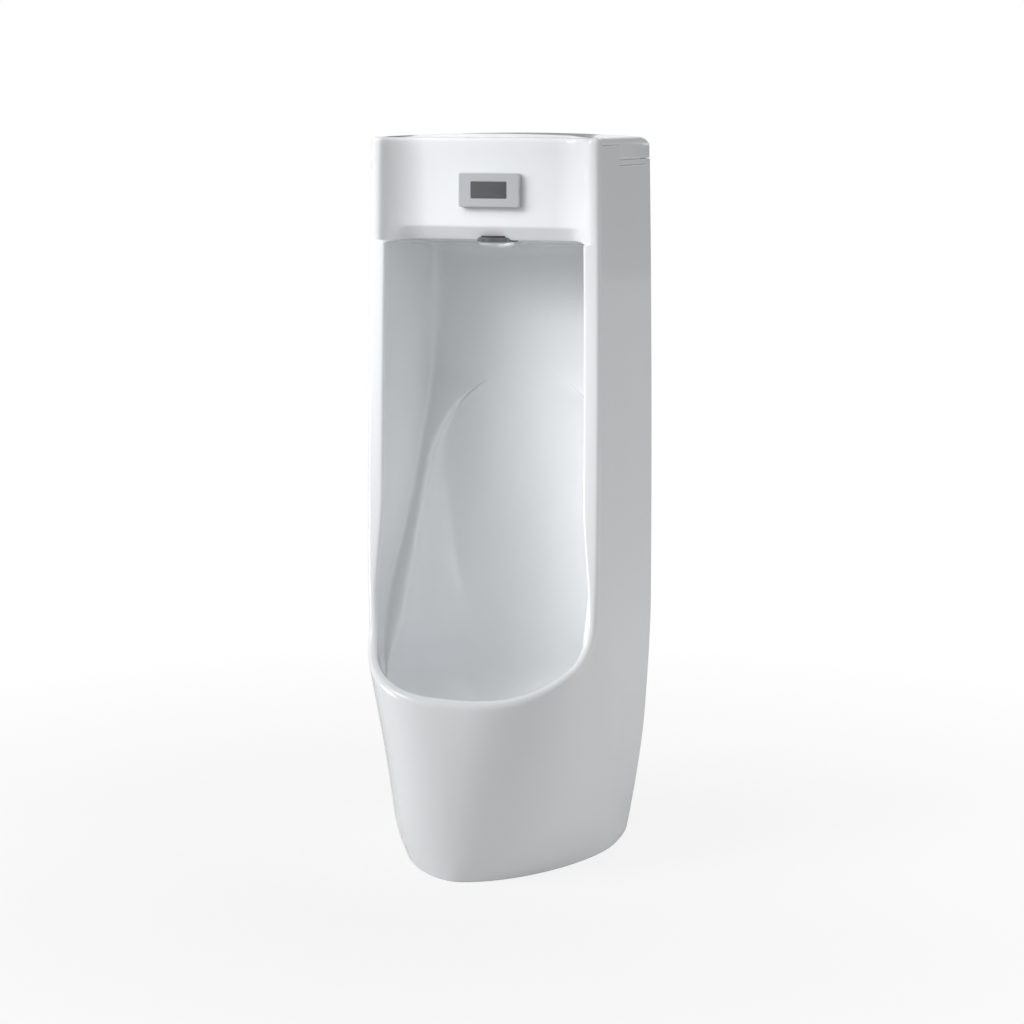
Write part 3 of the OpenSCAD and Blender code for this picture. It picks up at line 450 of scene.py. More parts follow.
@dataclass
class RimLine:
    """Side outline of posts and rim, and the four lines that its rounded edge is drawn between."""

    plan: Plan
    slope: float = 0.55
    bend: float = 73.0
    post_low_d: float = 233.5
    post_top_d: float = 221.5
    edge_r: float = 6.2
    counts: tuple[int, int] = (16, 42)

    def __post_init__(self) -> None:
        """Works out the bend's centre and turn."""
        self.tilt = math.atan(self.slope)
        self.turn = math.pi / 2 - self.tilt
        corner = self.plan.lip_z + self.slope * (self.plan.body_d - self.post_low_d)
        self.centre_d = self.post_low_d + self.bend
        self.centre_z = corner + self.bend * math.tan(self.turn / 2)
        self.join_z = self.centre_z

    def post_depth(self, z: Array, offset: float) -> Array:
        """Depth of the posts' front at a height, a straight line, moved in by an offset."""
        rise = (z - self.centre_z) / (self.plan.body_h + 1 - self.centre_z)
        return self.post_low_d + (self.post_top_d - self.post_low_d) * rise - offset

    def low_line(self, offset: float, inset: Any) -> Array:
        """The rim from the posts to the nose, as x, depth and height.

        It is an arc about the bend's centre and the sloping rim, each cut by the plan's wall and sampled
        evenly by its own length.

        Args:
            offset: How far below the rim's surface the line lies.
            inset: Inset of the plan's wall as a function of height.

        Returns:
            Points by 3.
        """
        p = self.plan
        angle = math.pi + self.turn * np.linspace(0, 1, 80)
        r = self.bend + offset
        bend = np.stack([self.centre_d + r * np.cos(angle), self.centre_z + r * np.sin(angle)], axis=-1)
        level = p.lip_z + self.slope * p.body_d - offset / math.cos(self.tilt)
        k = (p.body_d - p.base_d) / p.lip_z
        end = (p.base_d - float(inset(np.array(p.lip_z))) + k * level) / (1 + k * self.slope)
        run_d = bend[-1, 0] + (end - bend[-1, 0]) * (1 - (1 - np.linspace(0, 1, 400)) ** 3)
        slant = np.stack([run_d, level - self.slope * run_d], axis=-1)
        lines = []
        for piece, count in zip((bend, slant), self.counts):
            d, z = piece[:, 0], piece[:, 1]
            line = np.stack([p.across(z, d, inset(z)), d, z], axis=-1)
            run = np.concatenate([[0], np.cumsum(np.linalg.norm(np.diff(line, axis=0), axis=1))])
            share = np.linspace(0, run[-1], count + 1)
            lines.append(np.stack([np.interp(share, run, line[:, k]) for k in range(3)], axis=-1))
        whole = np.concatenate([lines[0], lines[1][1:]])
        whole[-1, 0] = 0.0
        return whole


class Stretch(IntEnum):
    """The stretches of the cavity's plan, from the back's middle to the posts."""

    BASIN = 0
    RIDGE = 1
    SHOULDER = 2
    VALLEY = 3
    WALL = 4


@dataclass
class Cavity:
    """The cavity: a back that leans out into a shoulder, a basin scooped from it, and a bowl below."""

    plan: Plan
    back_d: float = 46.0
    shoulder_z: float = 676.0
    shoulder_slope: float = 0.455
    shoulder_soft: float = 32.0
    shoulder_end_z: float = 288.0
    fade: tuple[float, float] = (610.0, 62.0)
    arch_z: float = 672.0
    spring_z: float = 530.0
    arch_half: float = 130.0
    basin_half: float = 135.0
    crown_half: tuple[float, float] = (18.0, 92.0)
    basin_z: float = 328.0
    ridge_r: float = 9.0
    valley_r: float = 9.0
    corner_r: float = 25.0
    bowl_z: float = 150.0
    drain_d: float = 185.0
    drain_r: float = 34.0
    counts: tuple[int, int, int, int, int] = (17, 6, 6, 6, 14)

    def __post_init__(self) -> None:
        """Lays out the columns: a stretch's number and the share along it."""
        stretch = [np.full(n, k) for k, n in enumerate(self.counts)]
        share = [np.arange(n) / n for n in self.counts]
        self.stretch = np.concatenate([*stretch, [Stretch.WALL]])
        self.share = np.concatenate([*share, [1.0]])
        self.valley_end = sum(self.counts[:4])

    def shoulder(self, z: Array) -> Array:
        """Depth of the back and the shoulder: a lean that sets in gently and stops near the lip."""
        run = np.maximum(0, self.shoulder_z - np.maximum(z, self.shoulder_end_z))
        soft = self.shoulder_soft
        lean = np.where(run < soft, run**2 / (2 * soft), run - soft / 2)
        return self.back_d + self.shoulder_slope * lean

    def half_basin(self, z: Array) -> Array:
        """Half the basin's width: a half ellipse over the spring, then widening slowly to the lip."""
        p = self.plan
        rise = np.clip((z - self.spring_z) / (self.arch_z - self.spring_z), 0, 1)
        fall = np.clip((self.spring_z - z) / (self.spring_z - self.basin_z), 0, 1)
        least, most = self.crown_half
        arch = np.maximum(least, self.arch_half * np.sqrt(1 - rise**2))
        arch = arch + (self.basin_half - self.arch_half) * fall
        above = least + (most - least) * ease((z - self.arch_z - 2) / 90)
        lip = float(p.across(np.array(p.lip_z), self.shoulder(np.array(p.lip_z)), np.array(p.rim_w))) - 1
        below = ease((self.basin_z - z) / (self.basin_z - p.lip_z))
        low = self.basin_half + (lip - self.basin_half) * below
        return np.where(z > self.arch_z, above, np.where(z > self.basin_z, arch, low))

    def corner(self, z: Array) -> Array:
        """Radius of the upright corner between back and side wall."""
        flat = self.plan.across(z, self.shoulder(z), self.plan.side_inset(z)) - self.half_basin(z)
        low = np.minimum(self.valley_r, 0.4 * np.maximum(flat, 0.2))
        return low + (self.corner_r - self.valley_r) * ease((z - self.shoulder_z - 4) / 90)

    def section(
        self, z: Array, back: Array, run_x: Array, run_d: Array, end: Array, stretch: Array, share: Array
    ) -> tuple[Array, Array]:
        """Plan of the cavity at a height, point by point along its stretches.

        Basin: an ellipse quarter e sin t by its depth, which turns into half a cosine wave towards the
        crown; ridge and valley: quarter circles; shoulder: straight; wall: even steps in depth.

        Args:
            z: Heights.
            back: Depth of the back at the middle, basin aside.
            run_x: Sideways run of the corner.
            run_d: Depth run of the corner.
            end: Depth at which the wall ends.
            stretch: Stretch of each column.
            share: Share along it.

        Returns:
            Sideways places and depths.
        """
        inset = self.plan.side_inset(z)
        floor = np.where(z < self.shoulder_z, self.back_d, back)
        e = self.half_basin(z)
        side = self.plan.across(z, back, inset)
        flat = np.maximum(side - e, 0.5)
        soft = ease((z - self.fade[0]) / self.fade[1]) * (z < self.shoulder_z)
        r1 = np.minimum(np.minimum(self.ridge_r, 0.4 * flat), 0.8 * (back - floor)) * (1 - soft)
        bell = floor + (back - floor) * (1 - np.cos(math.pi * share)) / 2
        run = np.maximum(r1, np.minimum(2.0, 0.4 * flat))
        t = share * math.pi / 2
        corner_d = back + run_d * (1 - np.cos(t))
        corner_x = self.plan.across(z, corner_d, inset) - run_x * (1 - np.sin(t))
        left = self.plan.across(z, back, inset) - run_x
        wall_d = back + run_d + (end - back - run_d) * share
        masks = [stretch == k for k in (Stretch.BASIN, Stretch.RIDGE, Stretch.SHOULDER, Stretch.VALLEY)]
        x = np.select(
            masks,
            [
                e * (np.sin(t) * (1 - soft) + share * soft),
                e + run * (1 - np.cos(t)),
                e + run + (left - e - run) * share,
                corner_x,
            ],
            self.plan.across(z, wall_d, inset),
        )
        d = np.select(
            masks,
            [
                (back - r1 - (back - r1 - floor) * np.cos(t)) * (1 - soft) + bell * soft,
                back - r1 * (1 - np.sin(t)),
                back + 0 * t,
                corner_d,
            ],
            wall_d,
        )
        return x, d


@dataclass
class CeramicBody:
    """The one-piece ceramic: a closed shell with every edge rounded by the glaze."""

    plan: Plan = field(default_factory=Plan)
    panel_d: float = 192.0
    panel_flat: float = 95.0
    fillet_r: float = 65.57
    panel_t: float = 12.0
    lip_top_z: float = 880.0
    lip_foot: tuple[float, float] = (180.5, 861.5)
    lip_r: tuple[float, float] = (9.0, 4.0)
    lip_fade: float = 4.0
    ceiling_slope: float = 0.09
    ceiling_corner: float = 18.0
    ceiling_run: float = 44.0
    ceiling_low: float = 800.0
    ceiling_depth: float = 52.0
    back_fillet: float = 25.0
    top_r: float = 6.0
    seam_x: float = 149.4
    steps: tuple[tuple[float, float], ...] = ((209.5, 990.0), (138.0, 962.0), (20.0, 970.0))
    step_gap: float = 0.2
    seam_gap: float = 0.3
    seat_r: float = 1.5
    rear_r: float = 4.0
    floor_r: float = 3.0
    wall_t: float = 9.0
    flat_from: float = 0.72
    basin_t: float = 8.5
    rim_t: float = 5.4
    edge_t: float = 5.5
    flush_t: float = 11.2
    rim_share: float = 0.44
    edge_share: float = 0.47
    inner_pull: float = 0.72
    outer_pull: float = 0.5523
    above_crown: tuple[float, ...] = (688.0, 682.0, 678.0)
    below_crown: tuple[float, ...] = (659.0, 655.0, 650.0, 644.0, 637.0, 629.0)
    rear_from: float = 140.0
    rear_over: float = 50.0
    low_z: float = 225.0
    strip_points: int = 5

    def __post_init__(self) -> None:
        """Makes the rim, the cavity and the two wall lines."""
        self.rim = RimLine(self.plan)
        self.cavity = Cavity(self.plan)
        self.outer_line = WallLine(self.plan, np.zeros_like, np.zeros_like, 0.0, self.rim.join_z)

    # -- rows of the upper cavity

    def back_profile(self) -> tuple[Array, Array]:
        """Side outline of panel, lip, ceiling, fillet, back and shoulder, from the top down.

        Straight panel; the lip leaning inwards between two arcs; the ceiling; an arc into the back; the
        back and the leaning shoulder, with close rows at the basin's arch.

        Returns:
            Heights and depths of the rows.
        """
        c, tilt = self.cavity, math.atan(self.ceiling_slope)
        foot_d, foot_z = self.lip_foot
        lean = math.atan2(self.panel_d - foot_d, self.lip_top_z - foot_z)
        above, below = self.lip_r
        reach = above * math.tan(lean / 2)
        start_z = self.lip_top_z + reach
        panel = np.linspace(self.plan.body_h - self.top_r, start_z, 12)[:-1]
        a = np.linspace(0, lean, 5)
        top_d, top_z = self.panel_d - above * (1 - np.cos(a)), start_z - above * np.sin(a)
        turn = math.pi / 2 - tilt - lean
        back_off = below * math.tan(turn / 2)
        mid_lip = (foot_d + back_off * math.sin(lean), foot_z + back_off * math.cos(lean))
        a = lean + np.linspace(0, turn, 7)
        low_d = mid_lip[0] + below * (np.cos(a) - math.cos(lean))
        low_z = mid_lip[1] - below * (np.sin(a) - math.sin(lean))
        slope_d, slope_z = (np.linspace(v[-1], w[0], 5)[1:-1] for v, w in ((top_d, low_d), (top_z, low_z)))
        base = foot_z - self.ceiling_slope * foot_d
        big = self.back_fillet
        mid_d = c.back_d + big
        mid_z = base + self.ceiling_slope * mid_d - big / math.cos(tilt)
        b = np.linspace(math.pi / 2 + tilt, math.pi, 7)
        fil_d, fil_z = mid_d + big * np.cos(b), mid_z + big * np.sin(b)
        ceil_d = np.linspace(low_d[-1], fil_d[0], 15)[1:-1]
        ceil_z = base + self.ceiling_slope * ceil_d
        lip_d = np.concatenate([top_d, slope_d, low_d])
        lip_z = np.concatenate([top_z, slope_z, low_z])
        crown = (*self.above_crown, *np.linspace(676.5, 662, 12), *self.below_crown)
        high, low = np.linspace(mid_z, 696, 13)[1:], np.linspace(620, self.rim.join_z, 35)
        down = np.concatenate([high, crown, low])
        z = np.concatenate([panel, lip_z, ceil_z, fil_z, down])
        d = np.concatenate([np.full(panel.size, self.panel_d), lip_d, ceil_d, fil_d, c.shoulder(down)])
        return z, d

    def panel_section(self, z: Array, back: Array, stretch: Array, share: Array) -> tuple[Array, Array]:
        """Plan of the panel: flat at its depth, then an arc of the fillet's radius up to the post.

        Args:
            z: Heights.
            back: Depth of the flat.
            stretch: Stretch of each column.
            share: Share along it.

        Returns:
            Sideways places and depths.
        """
        counts = np.array(self.cavity.counts, dtype=float)
        before = np.array([0, *np.cumsum(counts)])
        flat_end, all_end = before[3], before[5]
        along = before[stretch] + counts[stretch] * share
        front = self.rim.post_depth(z, 0.0) - (self.panel_d - self.fillet_r)
        full = np.arccos(np.clip((2 * self.fillet_r - front) / self.fillet_r, -1, 1))
        last = full - self.rim.edge_r / self.fillet_r
        a = np.clip((along - flat_end) / (all_end - flat_end), 0, 1) * last
        x = np.minimum(along / flat_end, 1) * self.panel_flat + self.fillet_r * np.sin(a)
        return x, back + self.fillet_r * (1 - np.cos(a))

    def upper_rows(self) -> dict[str, Array]:
        """All points of the cavity above the join, with the lines of the rim's edge beside them.

        The lip stands upright again towards the posts, and the panel's section changes into the cavity's
        over the front of the ceiling.

        Returns:
            Heights, cavity points, and the lines Pi, Qi, Qo and Po as x, depth and height.
        """
        c, p, rim = self.cavity, self.plan, self.rim
        z1, s1 = self.back_profile()
        z, s = z1[:, None], s1[:, None]
        stretch, share = c.stretch[None, :], c.share[None, :]
        corner = c.corner(z)
        under = ease((s - c.back_d) / self.ceiling_run) * (z > self.ceiling_low)
        run_x = corner + (self.ceiling_corner - corner) * under
        end = rim.post_depth(z, rim.edge_r)
        run_d = np.minimum(corner + self.ceiling_depth * under, 0.8 * (end - s))
        xa, da = c.section(z, s, run_x, run_d, end, stretch, share)
        first, last = sum(c.counts[:3]), sum(c.counts)
        along = np.clip((np.arange(last + 1) - first) / (last - first), 0, 1)
        upright = ease((along - 0.35) / 0.4)[None, :]
        xb, db = self.panel_section(z, s + (self.panel_d - s) * upright, stretch, share)
        mix = ease((z - self.lip_foot[1]) / self.lip_fade + 1)
        inset = p.side_inset(z1)
        mix1 = mix[:, 0]
        front0, front1 = rim.post_depth(z1, 0.0), rim.post_depth(z1, rim.edge_r)
        rise = front0 - self.panel_d
        arc_x = self.panel_flat + np.sqrt(np.maximum(self.fillet_r**2 - (self.fillet_r - rise) ** 2, 0))
        qi_x = p.across(z1, front0, inset) * (1 - mix1) + arc_x * mix1
        merged = np.broadcast_arrays(xa + (xb - xa) * mix, da + (db - da) * mix, z)
        return {
            "z": z1,
            "cavity": np.stack(merged, axis=-1),
            "qi": np.stack([qi_x, front0, z1], axis=-1),
            "qo": np.stack([p.across(z1, front0, 0 * z1), front0, z1], axis=-1),
            "po": np.stack([p.across(z1, front1, 0 * z1), front1, z1], axis=-1),
            "mix": mix1,
        }

    def rounded_edge(self, pi: Array, qi: Array, qo: Array, po: Array) -> Array:
        """Points across the rim: a cubic round each corner, with a flat between them.

        Each corner runs from P towards the corner point Q and on along the front by the edge radius. The
        outer pull makes a round edge, the inner one a tighter edge.

        Args:
            pi: Line on the inner wall.
            qi: Inner corner line.
            qo: Outer corner line.
            po: Line on the outer wall.

        Returns:
            Rows by points across by 3.
        """
        span = qo - qi
        wide = np.linalg.norm(span, axis=1, keepdims=True)
        r = np.minimum(self.rim.edge_r, self.edge_share * wide)
        step = span / np.maximum(wide, TINY) * r
        t = np.linspace(0, 1, self.strip_points + 1)
        first = rounded_corner(pi, qi, qi + step, t, self.inner_pull)
        last = rounded_corner(qo - step, qo, po, t, self.outer_pull)
        return np.concatenate([first, last], axis=1)

    # -- patches

    def side_wall(self, z: Array) -> Array:
        """Wall thickness that both skins of the rim leave room for."""
        return np.minimum(self.wall_t, self.rim_share * self.plan.side_inset(z))

    def rear_share(self, d: Array) -> Array:
        """How far a depth is behind the cavity, where the outer skin has its full thickness."""
        return ease((self.rear_from - d) / self.rear_over)

    def build(self) -> bpy.types.Object:
        """Makes the half skin, mirrors it and gives it its wall."""
        c = self.cavity
        skin = Skin()
        up = self.upper_rows()
        cavity = up["cavity"]
        pi = cavity[:, -1]
        strip = self.rounded_edge(pi, up["qi"], up["qo"], up["po"])
        z1 = up["z"]
        thick = np.full(cavity.shape[:2], self.basin_t)
        side = self.side_wall(z1)[:, None]
        columns = np.arange(cavity.shape[1])
        thick = thick + (side - thick) * ease((columns - c.valley_end + 2) / 4)[None, :]
        panel = up["mix"][:, None]
        thick = thick + (self.flush_t - thick) * panel * (1 - ease((columns - c.valley_end) / 8))[None, :]
        strip_t = np.minimum(self.edge_t, side)
        outer = self.outer_upper(z1)
        behind = self.edge_t + (self.wall_t - self.edge_t) * self.rear_share(outer[..., 1])
        outer_t = np.minimum(self.wall_t, np.maximum(side, behind))
        for part, wall in ((cavity, thick), (strip, strip_t), (outer, outer_t)):
            skin.grid(placed(part), wall)
        self.add_top(skin, cavity[0], strip[0], outer[0])
        self.add_lower(skin, cavity[-1], outer[-1])
        skin.mirror()
        points, walls, faces = skin.welded()
        outwards = face_normals(points, faces)[np.argmax(points[faces[:, 0], 0])]
        if outwards[0] < 0:
            faces = flipped(faces)
        shell, shell_faces = walled(points, walls, faces)
        return put_mesh("ceramic_glaze", shell, shell_faces, 42.0)

    def outer_depths(self, front: float) -> tuple[Array, Array]:
        """Depths of the outer columns from the post's edge to the wall plane, and how far each is drawn in.

        Args:
            front: Depth of the post's edge.

        Returns:
            Depths, and insets at the rounded rear edge.
        """
        gap, r = self.step_gap, self.rear_r
        a, b, e = (s[0] for s in self.steps)
        turn = np.linspace(0, math.pi / 2, 5)
        spread = np.concatenate(
            [
                [front, (front + a) / 2, a + gap, a - gap],
                np.linspace(a, b, 9)[1:-1],
                [b + gap, b - gap],
                np.linspace(b, e, 12)[1:-1],
                [e + gap, e - gap, 12.0, 7.0],
            ]
        )
        rear = r * (1 - np.sin(turn))
        depths = np.concatenate([spread, rear, [0.0]])
        insets = np.concatenate([0 * spread, r * (1 - np.cos(turn)), [self.wall_t]])
        return depths, insets

    def top_of(self, d: Array) -> Array:
        """Height at which the outer side ends, in steps by depth."""
        a, b, e = self.steps
        return np.select([d > a[0], d > b[0], d > e[0]], [self.plan.body_h, a[1], b[1]], e[1])

    def outer_upper(self, z1: Array) -> Array:
        """Outer side above the join: columns at fixed depths, heights stretched to each column's top.

        Args:
            z1: Heights of the rows.

        Returns:
            Rows by columns of x, depth and height.
        """
        p, join = self.plan, self.rim.join_z
        depths, insets = self.outer_depths(0.0)
        front = self.rim.post_depth(z1, self.rim.edge_r)
        d = np.broadcast_to(depths, (z1.size, depths.size)).copy()
        d[:, 0] = front
        d[:, 1] = (front + self.steps[0][0]) / 2
        tops = self.top_of(np.where(np.arange(depths.size) < 2, p.body_d, depths))
        edge = np.where(tops == p.body_h, self.top_r, self.seat_r)
        high = p.body_h - self.top_r
        z = join + (z1[:, None] - join) * ((tops - edge - join) / (high - join))[None, :]
        x = p.across(z, d, 0 * z) - insets[None, :]
        return np.stack(np.broadcast_arrays(x, d, z), axis=-1)

    def add_top(self, skin: Skin, cavity: Array, strip: Array, outer: Array) -> None:
        """Rounds the top edge over and runs it flat to the lid's seam.

        A point at the turn t of the edge moves in by r(1 - cos t) along the plan's inward normal and up
        by r sin t.

        Args:
            skin: The skin to add to.
            cavity: Top row of the panel.
            strip: Top row of the post's edge.
            outer: Top row of the outer side.
        """
        t = np.linspace(0, math.pi / 2, 6)[:, None]
        line = np.concatenate([cavity, strip[1:], outer[1:3]])
        run = np.gradient(line[:, :2], axis=0)
        run /= np.maximum(np.linalg.norm(run, axis=1, keepdims=True), TINY)
        inward = np.stack([run[:, 1], -run[:, 0]], axis=-1)
        inward[0] = (0.0, -1.0)
        inward[-3:] = (-1.0, 0.0)
        r = self.top_r
        x = line[None, :, 0] + inward[None, :, 0] * r * (1 - np.cos(t))
        d = line[None, :, 1] + inward[None, :, 1] * r * (1 - np.cos(t))
        z = line[None, :, 2] + r * np.sin(t)
        x[:, -1] = line[-1, 0] - r * (1 - np.cos(t[:, 0]))
        d[:, -1] = line[-1, 1]
        seam_d = self.panel_d - self.panel_t + self.seam_gap
        n_flat = sum(self.cavity.counts[:3])
        sx, sd = x[-1].copy(), d[-1].copy()
        sd[: n_flat + 1] = seam_d
        arc = np.arange(n_flat, cavity.shape[0])
        ax = self.panel_flat + (self.seam_x - self.panel_flat) * (arc - n_flat) / (arc[-1] - n_flat)
        sx[arc] = ax
        sd[arc] = seam_d + self.fillet_r - np.sqrt(self.fillet_r**2 - (ax - self.panel_flat) ** 2)
        last = line[-1, 0] - r
        rest = np.arange(cavity.shape[0], line.shape[0])
        share = (rest - cavity.shape[0] + 1) / rest.size
        sx[rest] = self.seam_x + (last - self.seam_x) * share
        sd[rest] = sd[arc[-1]] + (self.steps[0][0] + self.step_gap - sd[arc[-1]]) * share
        x, d, z = (np.concatenate([v, w[None]]) for v, w in ((x, sx), (d, sd), (z, z[-1])))
        points = place(x, d, z)
        inner = np.full(points.shape, np.nan)
        inner[-1] = points[-1] - np.array([0, 0, 6.0]) * MM
        wall = np.broadcast_to(np.where(np.arange(line.shape[0]) < n_flat, 8.0, 6.0), x.shape)
        skin.grid(points, wall, inner, flip=True)
        self.add_seat(skin, outer[2:], points[:, -1], inner[:, -1])

    def add_seat(self, skin: Skin, row: Array, corner: Array, corner_inner: Array) -> None:
        """Small rounded edge of the outer side's top, flat inward to the wall's thickness.

        Args:
            skin: The skin to add to.
            row: Top row of the outer side behind the posts, with its first column at the post.
            corner: The post's own last column of the rounded top.
            corner_inner: Inner points given for that column.
        """
        t = np.linspace(0, math.pi / 2, 6)[:, None]
        r, wall = self.seat_r, self.wall_t
        back = row[1:]
        whole = self.plan.across(back[:, 2], back[:, 1], 0 * back[:, 1])
        room = np.maximum(wall - (whole - back[:, 0]), 0.0)
        x = back[None, :, 0] - np.minimum(r * (1 - np.cos(t)), room[None, :])
        z = back[None, :, 2] + r * np.sin(t)
        d = np.broadcast_to(back[None, :, 1], x.shape)
        x = np.concatenate([x, (back[:, 0] - room)[None]])
        z = np.concatenate([z, z[-1:]])
        d = np.concatenate([d, d[-1:]])
        points = place(x, d, z)
        lift = np.linspace(0, 1.1, points.shape[0])[:, None]
        inner = place(back[:, 0] - room, np.maximum(d, 0.0), back[None, :, 2] + lift)
        inner[0] = np.nan
        points = np.concatenate([corner[:, None], points], axis=1)
        inner = np.concatenate([corner_inner[:, None], inner], axis=1)
        skin.grid(points, wall, inner, flip=True)

    def add_lower(self, skin: Skin, cavity_row: Array, outer_row: Array) -> None:
        """Rim below the posts, lower cavity with bowl and drain, and the outer side down to the floor.

        Args:
            skin: The skin to add to.
            cavity_row: Last row of the upper cavity.
            outer_row: Last row of the upper outer side.
        """
        c, p, rim = self.cavity, self.plan, self.rim
        pi, qi = (rim.low_line(offset, p.side_inset) for offset in (rim.edge_r, 0.0))
        qo, po = (rim.low_line(offset, np.zeros_like) for offset in (0.0, rim.edge_r))
        strip = self.rounded_edge(pi, qi, qo, po)
        strip[-1, :, 0] = 0.0
        skin.grid(placed(strip), self.rim_t)

        tops = np.concatenate([cavity_row, pi[1:]])
        in_wall = np.arange(tops.shape[0]) >= c.valley_end
        share = self.wall_share(tops[:, 1], tops[:, 2])
        tau = ease(np.linspace(0, 1, 25)) * 0.35 + np.linspace(0, 1, 25) * 0.65
        z = tops[None, :, 2] + (self.low_z - tops[None, :, 2]) * tau[:, None]
        points = self.low_ring(z, share)
        points[0] = tops
        wall = self.low_wall(points, in_wall)
        skin.grid(placed(points), wall)
        bowl = self.bowl_rows(points[-1], share)
        skin.grid(placed(bowl), self.basin_t)
        self.add_drain(skin, bowl[-1])

        rear = outer_row[::-1]
        line = np.concatenate([rear[:-1], po])
        insets = np.concatenate([self.outer_depths(0.0)[1][::-1][:-1], np.zeros(po.shape[0])])
        share = self.outer_line.share(line[:, 2], line[:, 1])
        tau = np.linspace(0, 1, 44)[:, None]
        z = line[None, :, 2] + (self.floor_r - line[None, :, 2]) * tau
        x, d = self.outer_line.at(z, np.broadcast_to(share, z.shape))
        x = x - insets[None, :]
        x[0], d[0], z[0] = line[:, 0], line[:, 1], line[:, 2]
        x[:, -1] = 0.0
        full = np.maximum(ease((self.low_z - z) / 60), self.rear_share(d))
        wall = np.maximum(self.side_wall(z), self.edge_t + (self.wall_t - self.edge_t) * full)
        skin.grid(place(x, d, z), wall, flip=True)
        self.add_floor_edge(skin, np.stack([x[-1], d[-1], z[-1]], axis=-1), insets)

    def low_ring(self, z: Array, share: Array) -> Array:
        """Cavity below the join: its plan at each height, drawn in below the lip by an ellipse.

        Args:
            z: Heights, rows by columns.
            share: Share of the wall's length for the wall's columns.

        Returns:
            Points as x, depth and height.
        """
        c, p = self.cavity, self.plan
        level = np.maximum(z, p.lip_z)
        n = c.valley_end
        corner = c.corner(level[:, :n])
        back = c.shoulder(level)
        columns = (c.stretch[None, :n], c.share[None, :n])
        xa, da = c.section(level[:, :n], back[:, :n], corner, corner, 0 * corner, *columns)
        wall_z = level[:, n:]
        start = back[:, n:] + c.corner(wall_z)
        inset = p.side_inset(wall_z)
        front, edge = p.nose(wall_z) - inset, self.edge_d
        db = edge + np.where(share[n:] <= 0, edge - start, front - edge) * share[n:]
        xb = p.across(wall_z, db, inset)
        x, d = np.concatenate([xa, xb], axis=1), np.concatenate([da, db], axis=1)
        x[:, 0] = 0.0
        x[:, -1] = 0.0
        d[:, -1] = front[:, -1]
        sine = np.clip((p.lip_z - z) / (p.lip_z - c.bowl_z), 0, 1)
        shrink = np.sqrt(1 - sine**2)
        return np.stack([x * shrink, c.drain_d + (d - c.drain_d) * shrink, z], axis=-1)

    @property
    def edge_d(self) -> float:
        """Depth of the posts' inner edge where the rim starts to bend."""
        return float(self.rim.post_depth(np.array(self.rim.join_z), self.rim.edge_r))

    def wall_share(self, d: Array, z: Array) -> Array:
        """Place of a wall point: from -1 at the valley to 0 at the posts' edge, and on to 1 at the nose.

        Args:
            d: Depths.
            z: Heights.

        Returns:
            The shares.
        """
        c, p = self.cavity, self.plan
        start = c.shoulder(z) + c.corner(z)
        behind = (d - self.edge_d) / (self.edge_d - start)
        ahead = (d - self.edge_d) / (p.nose(z) - p.side_inset(z) - self.edge_d)
        return np.where(d <= self.edge_d, behind, ahead)

    def low_wall(self, points: Array, in_wall: Array) -> Array:
        """Wall thickness of the lower cavity, thin beside the rim and full in the bowl."""
        z = points[..., 2]
        side = self.rim_t + (self.basin_t - self.rim_t) * ease((self.plan.lip_z - z) / 60)
        return np.where(in_wall[None, :], np.maximum(side, self.side_wall(z)), self.basin_t)

    def bowl_rows(self, start: Array, share: Array) -> Array:
        """Rings of the bowl from the lower cavity to the drain's edge.

        Each column turns evenly about the ellipse until it is the recess's radius from the drain, and its
        direction changes smoothly to an even spacing about the drain.

        Args:
            start: First row, as x, depth and height.
            share: Share of the wall's length for the wall's columns.

        Returns:
            Points as x, depth and height.
        """
        c, p = self.cavity, self.plan
        ring = self.low_ring(np.full((1, start.shape[0]), p.lip_z), share)[0]
        reach = np.hypot(ring[:, 0], ring[:, 1] - c.drain_d)
        first = math.asin((p.lip_z - self.low_z) / (p.lip_z - c.bowl_z))
        last = np.arccos((c.drain_r + 2) / reach)
        k = np.linspace(0, 1, 20)[:, None]
        a = first + (last[None, :] - first) * k
        turn = np.arctan2(ring[:, 0], c.drain_d - ring[:, 1])[None, :]
        turn = turn + (np.linspace(0, math.pi, ring.shape[0])[None, :] - turn) * ease(k)
        x = reach[None, :] * np.cos(a) * np.sin(turn)
        d = c.drain_d - reach[None, :] * np.cos(a) * np.cos(turn)
        z = p.lip_z - (p.lip_z - c.bowl_z) * np.sin(a)
        z = z - (z - c.bowl_z - 1.0) * ease((k - self.flat_from) / (1 - self.flat_from)) * 0.9
        rows = np.stack([x, d, z], axis=-1)
        rows[0] = start
        return rows

    def add_drain(self, skin: Skin, edge: Array) -> None:
        """Recess for the drain's grid: a softened edge, an upright wall, a flat ledge and the hole.

        Each ring is the last ring of the bowl drawn towards the drain's centre to a radius.

        Args:
            skin: The skin to add to.
            edge: The bowl's last row.
        """
        c = self.cavity
        away = np.stack([edge[:, 0], edge[:, 1] - c.drain_d], axis=-1)
        away /= np.linalg.norm(away, axis=1, keepdims=True)
        z0, full, hole, floor, foot = edge[:, 2], c.drain_r, 21.5, 148.0, 132.0
        rings = [(full + 2.0, z0), (full + 0.6, z0 - 0.5), (full, z0 - 1.8), (full, floor + 1.0)]
        rings += [(full - 0.8, floor), (hole + 1.1, floor), (hole, floor - 1.0), (hole, foot + 2.0)]
        rings += [(hole + 1.0, foot), (hole + 6.5, foot)]
        under = {2: (full + 7.0, 142.0), 3: (full + 7.0, 139.4), 4: (full + 7.0, 136.8), 5: (36.0, 133.6)}
        under |= {6: (34.0, 133.4), 7: (31.0, 133.2), 8: (29.5, 133.0), 9: (28.6, 132.8)}

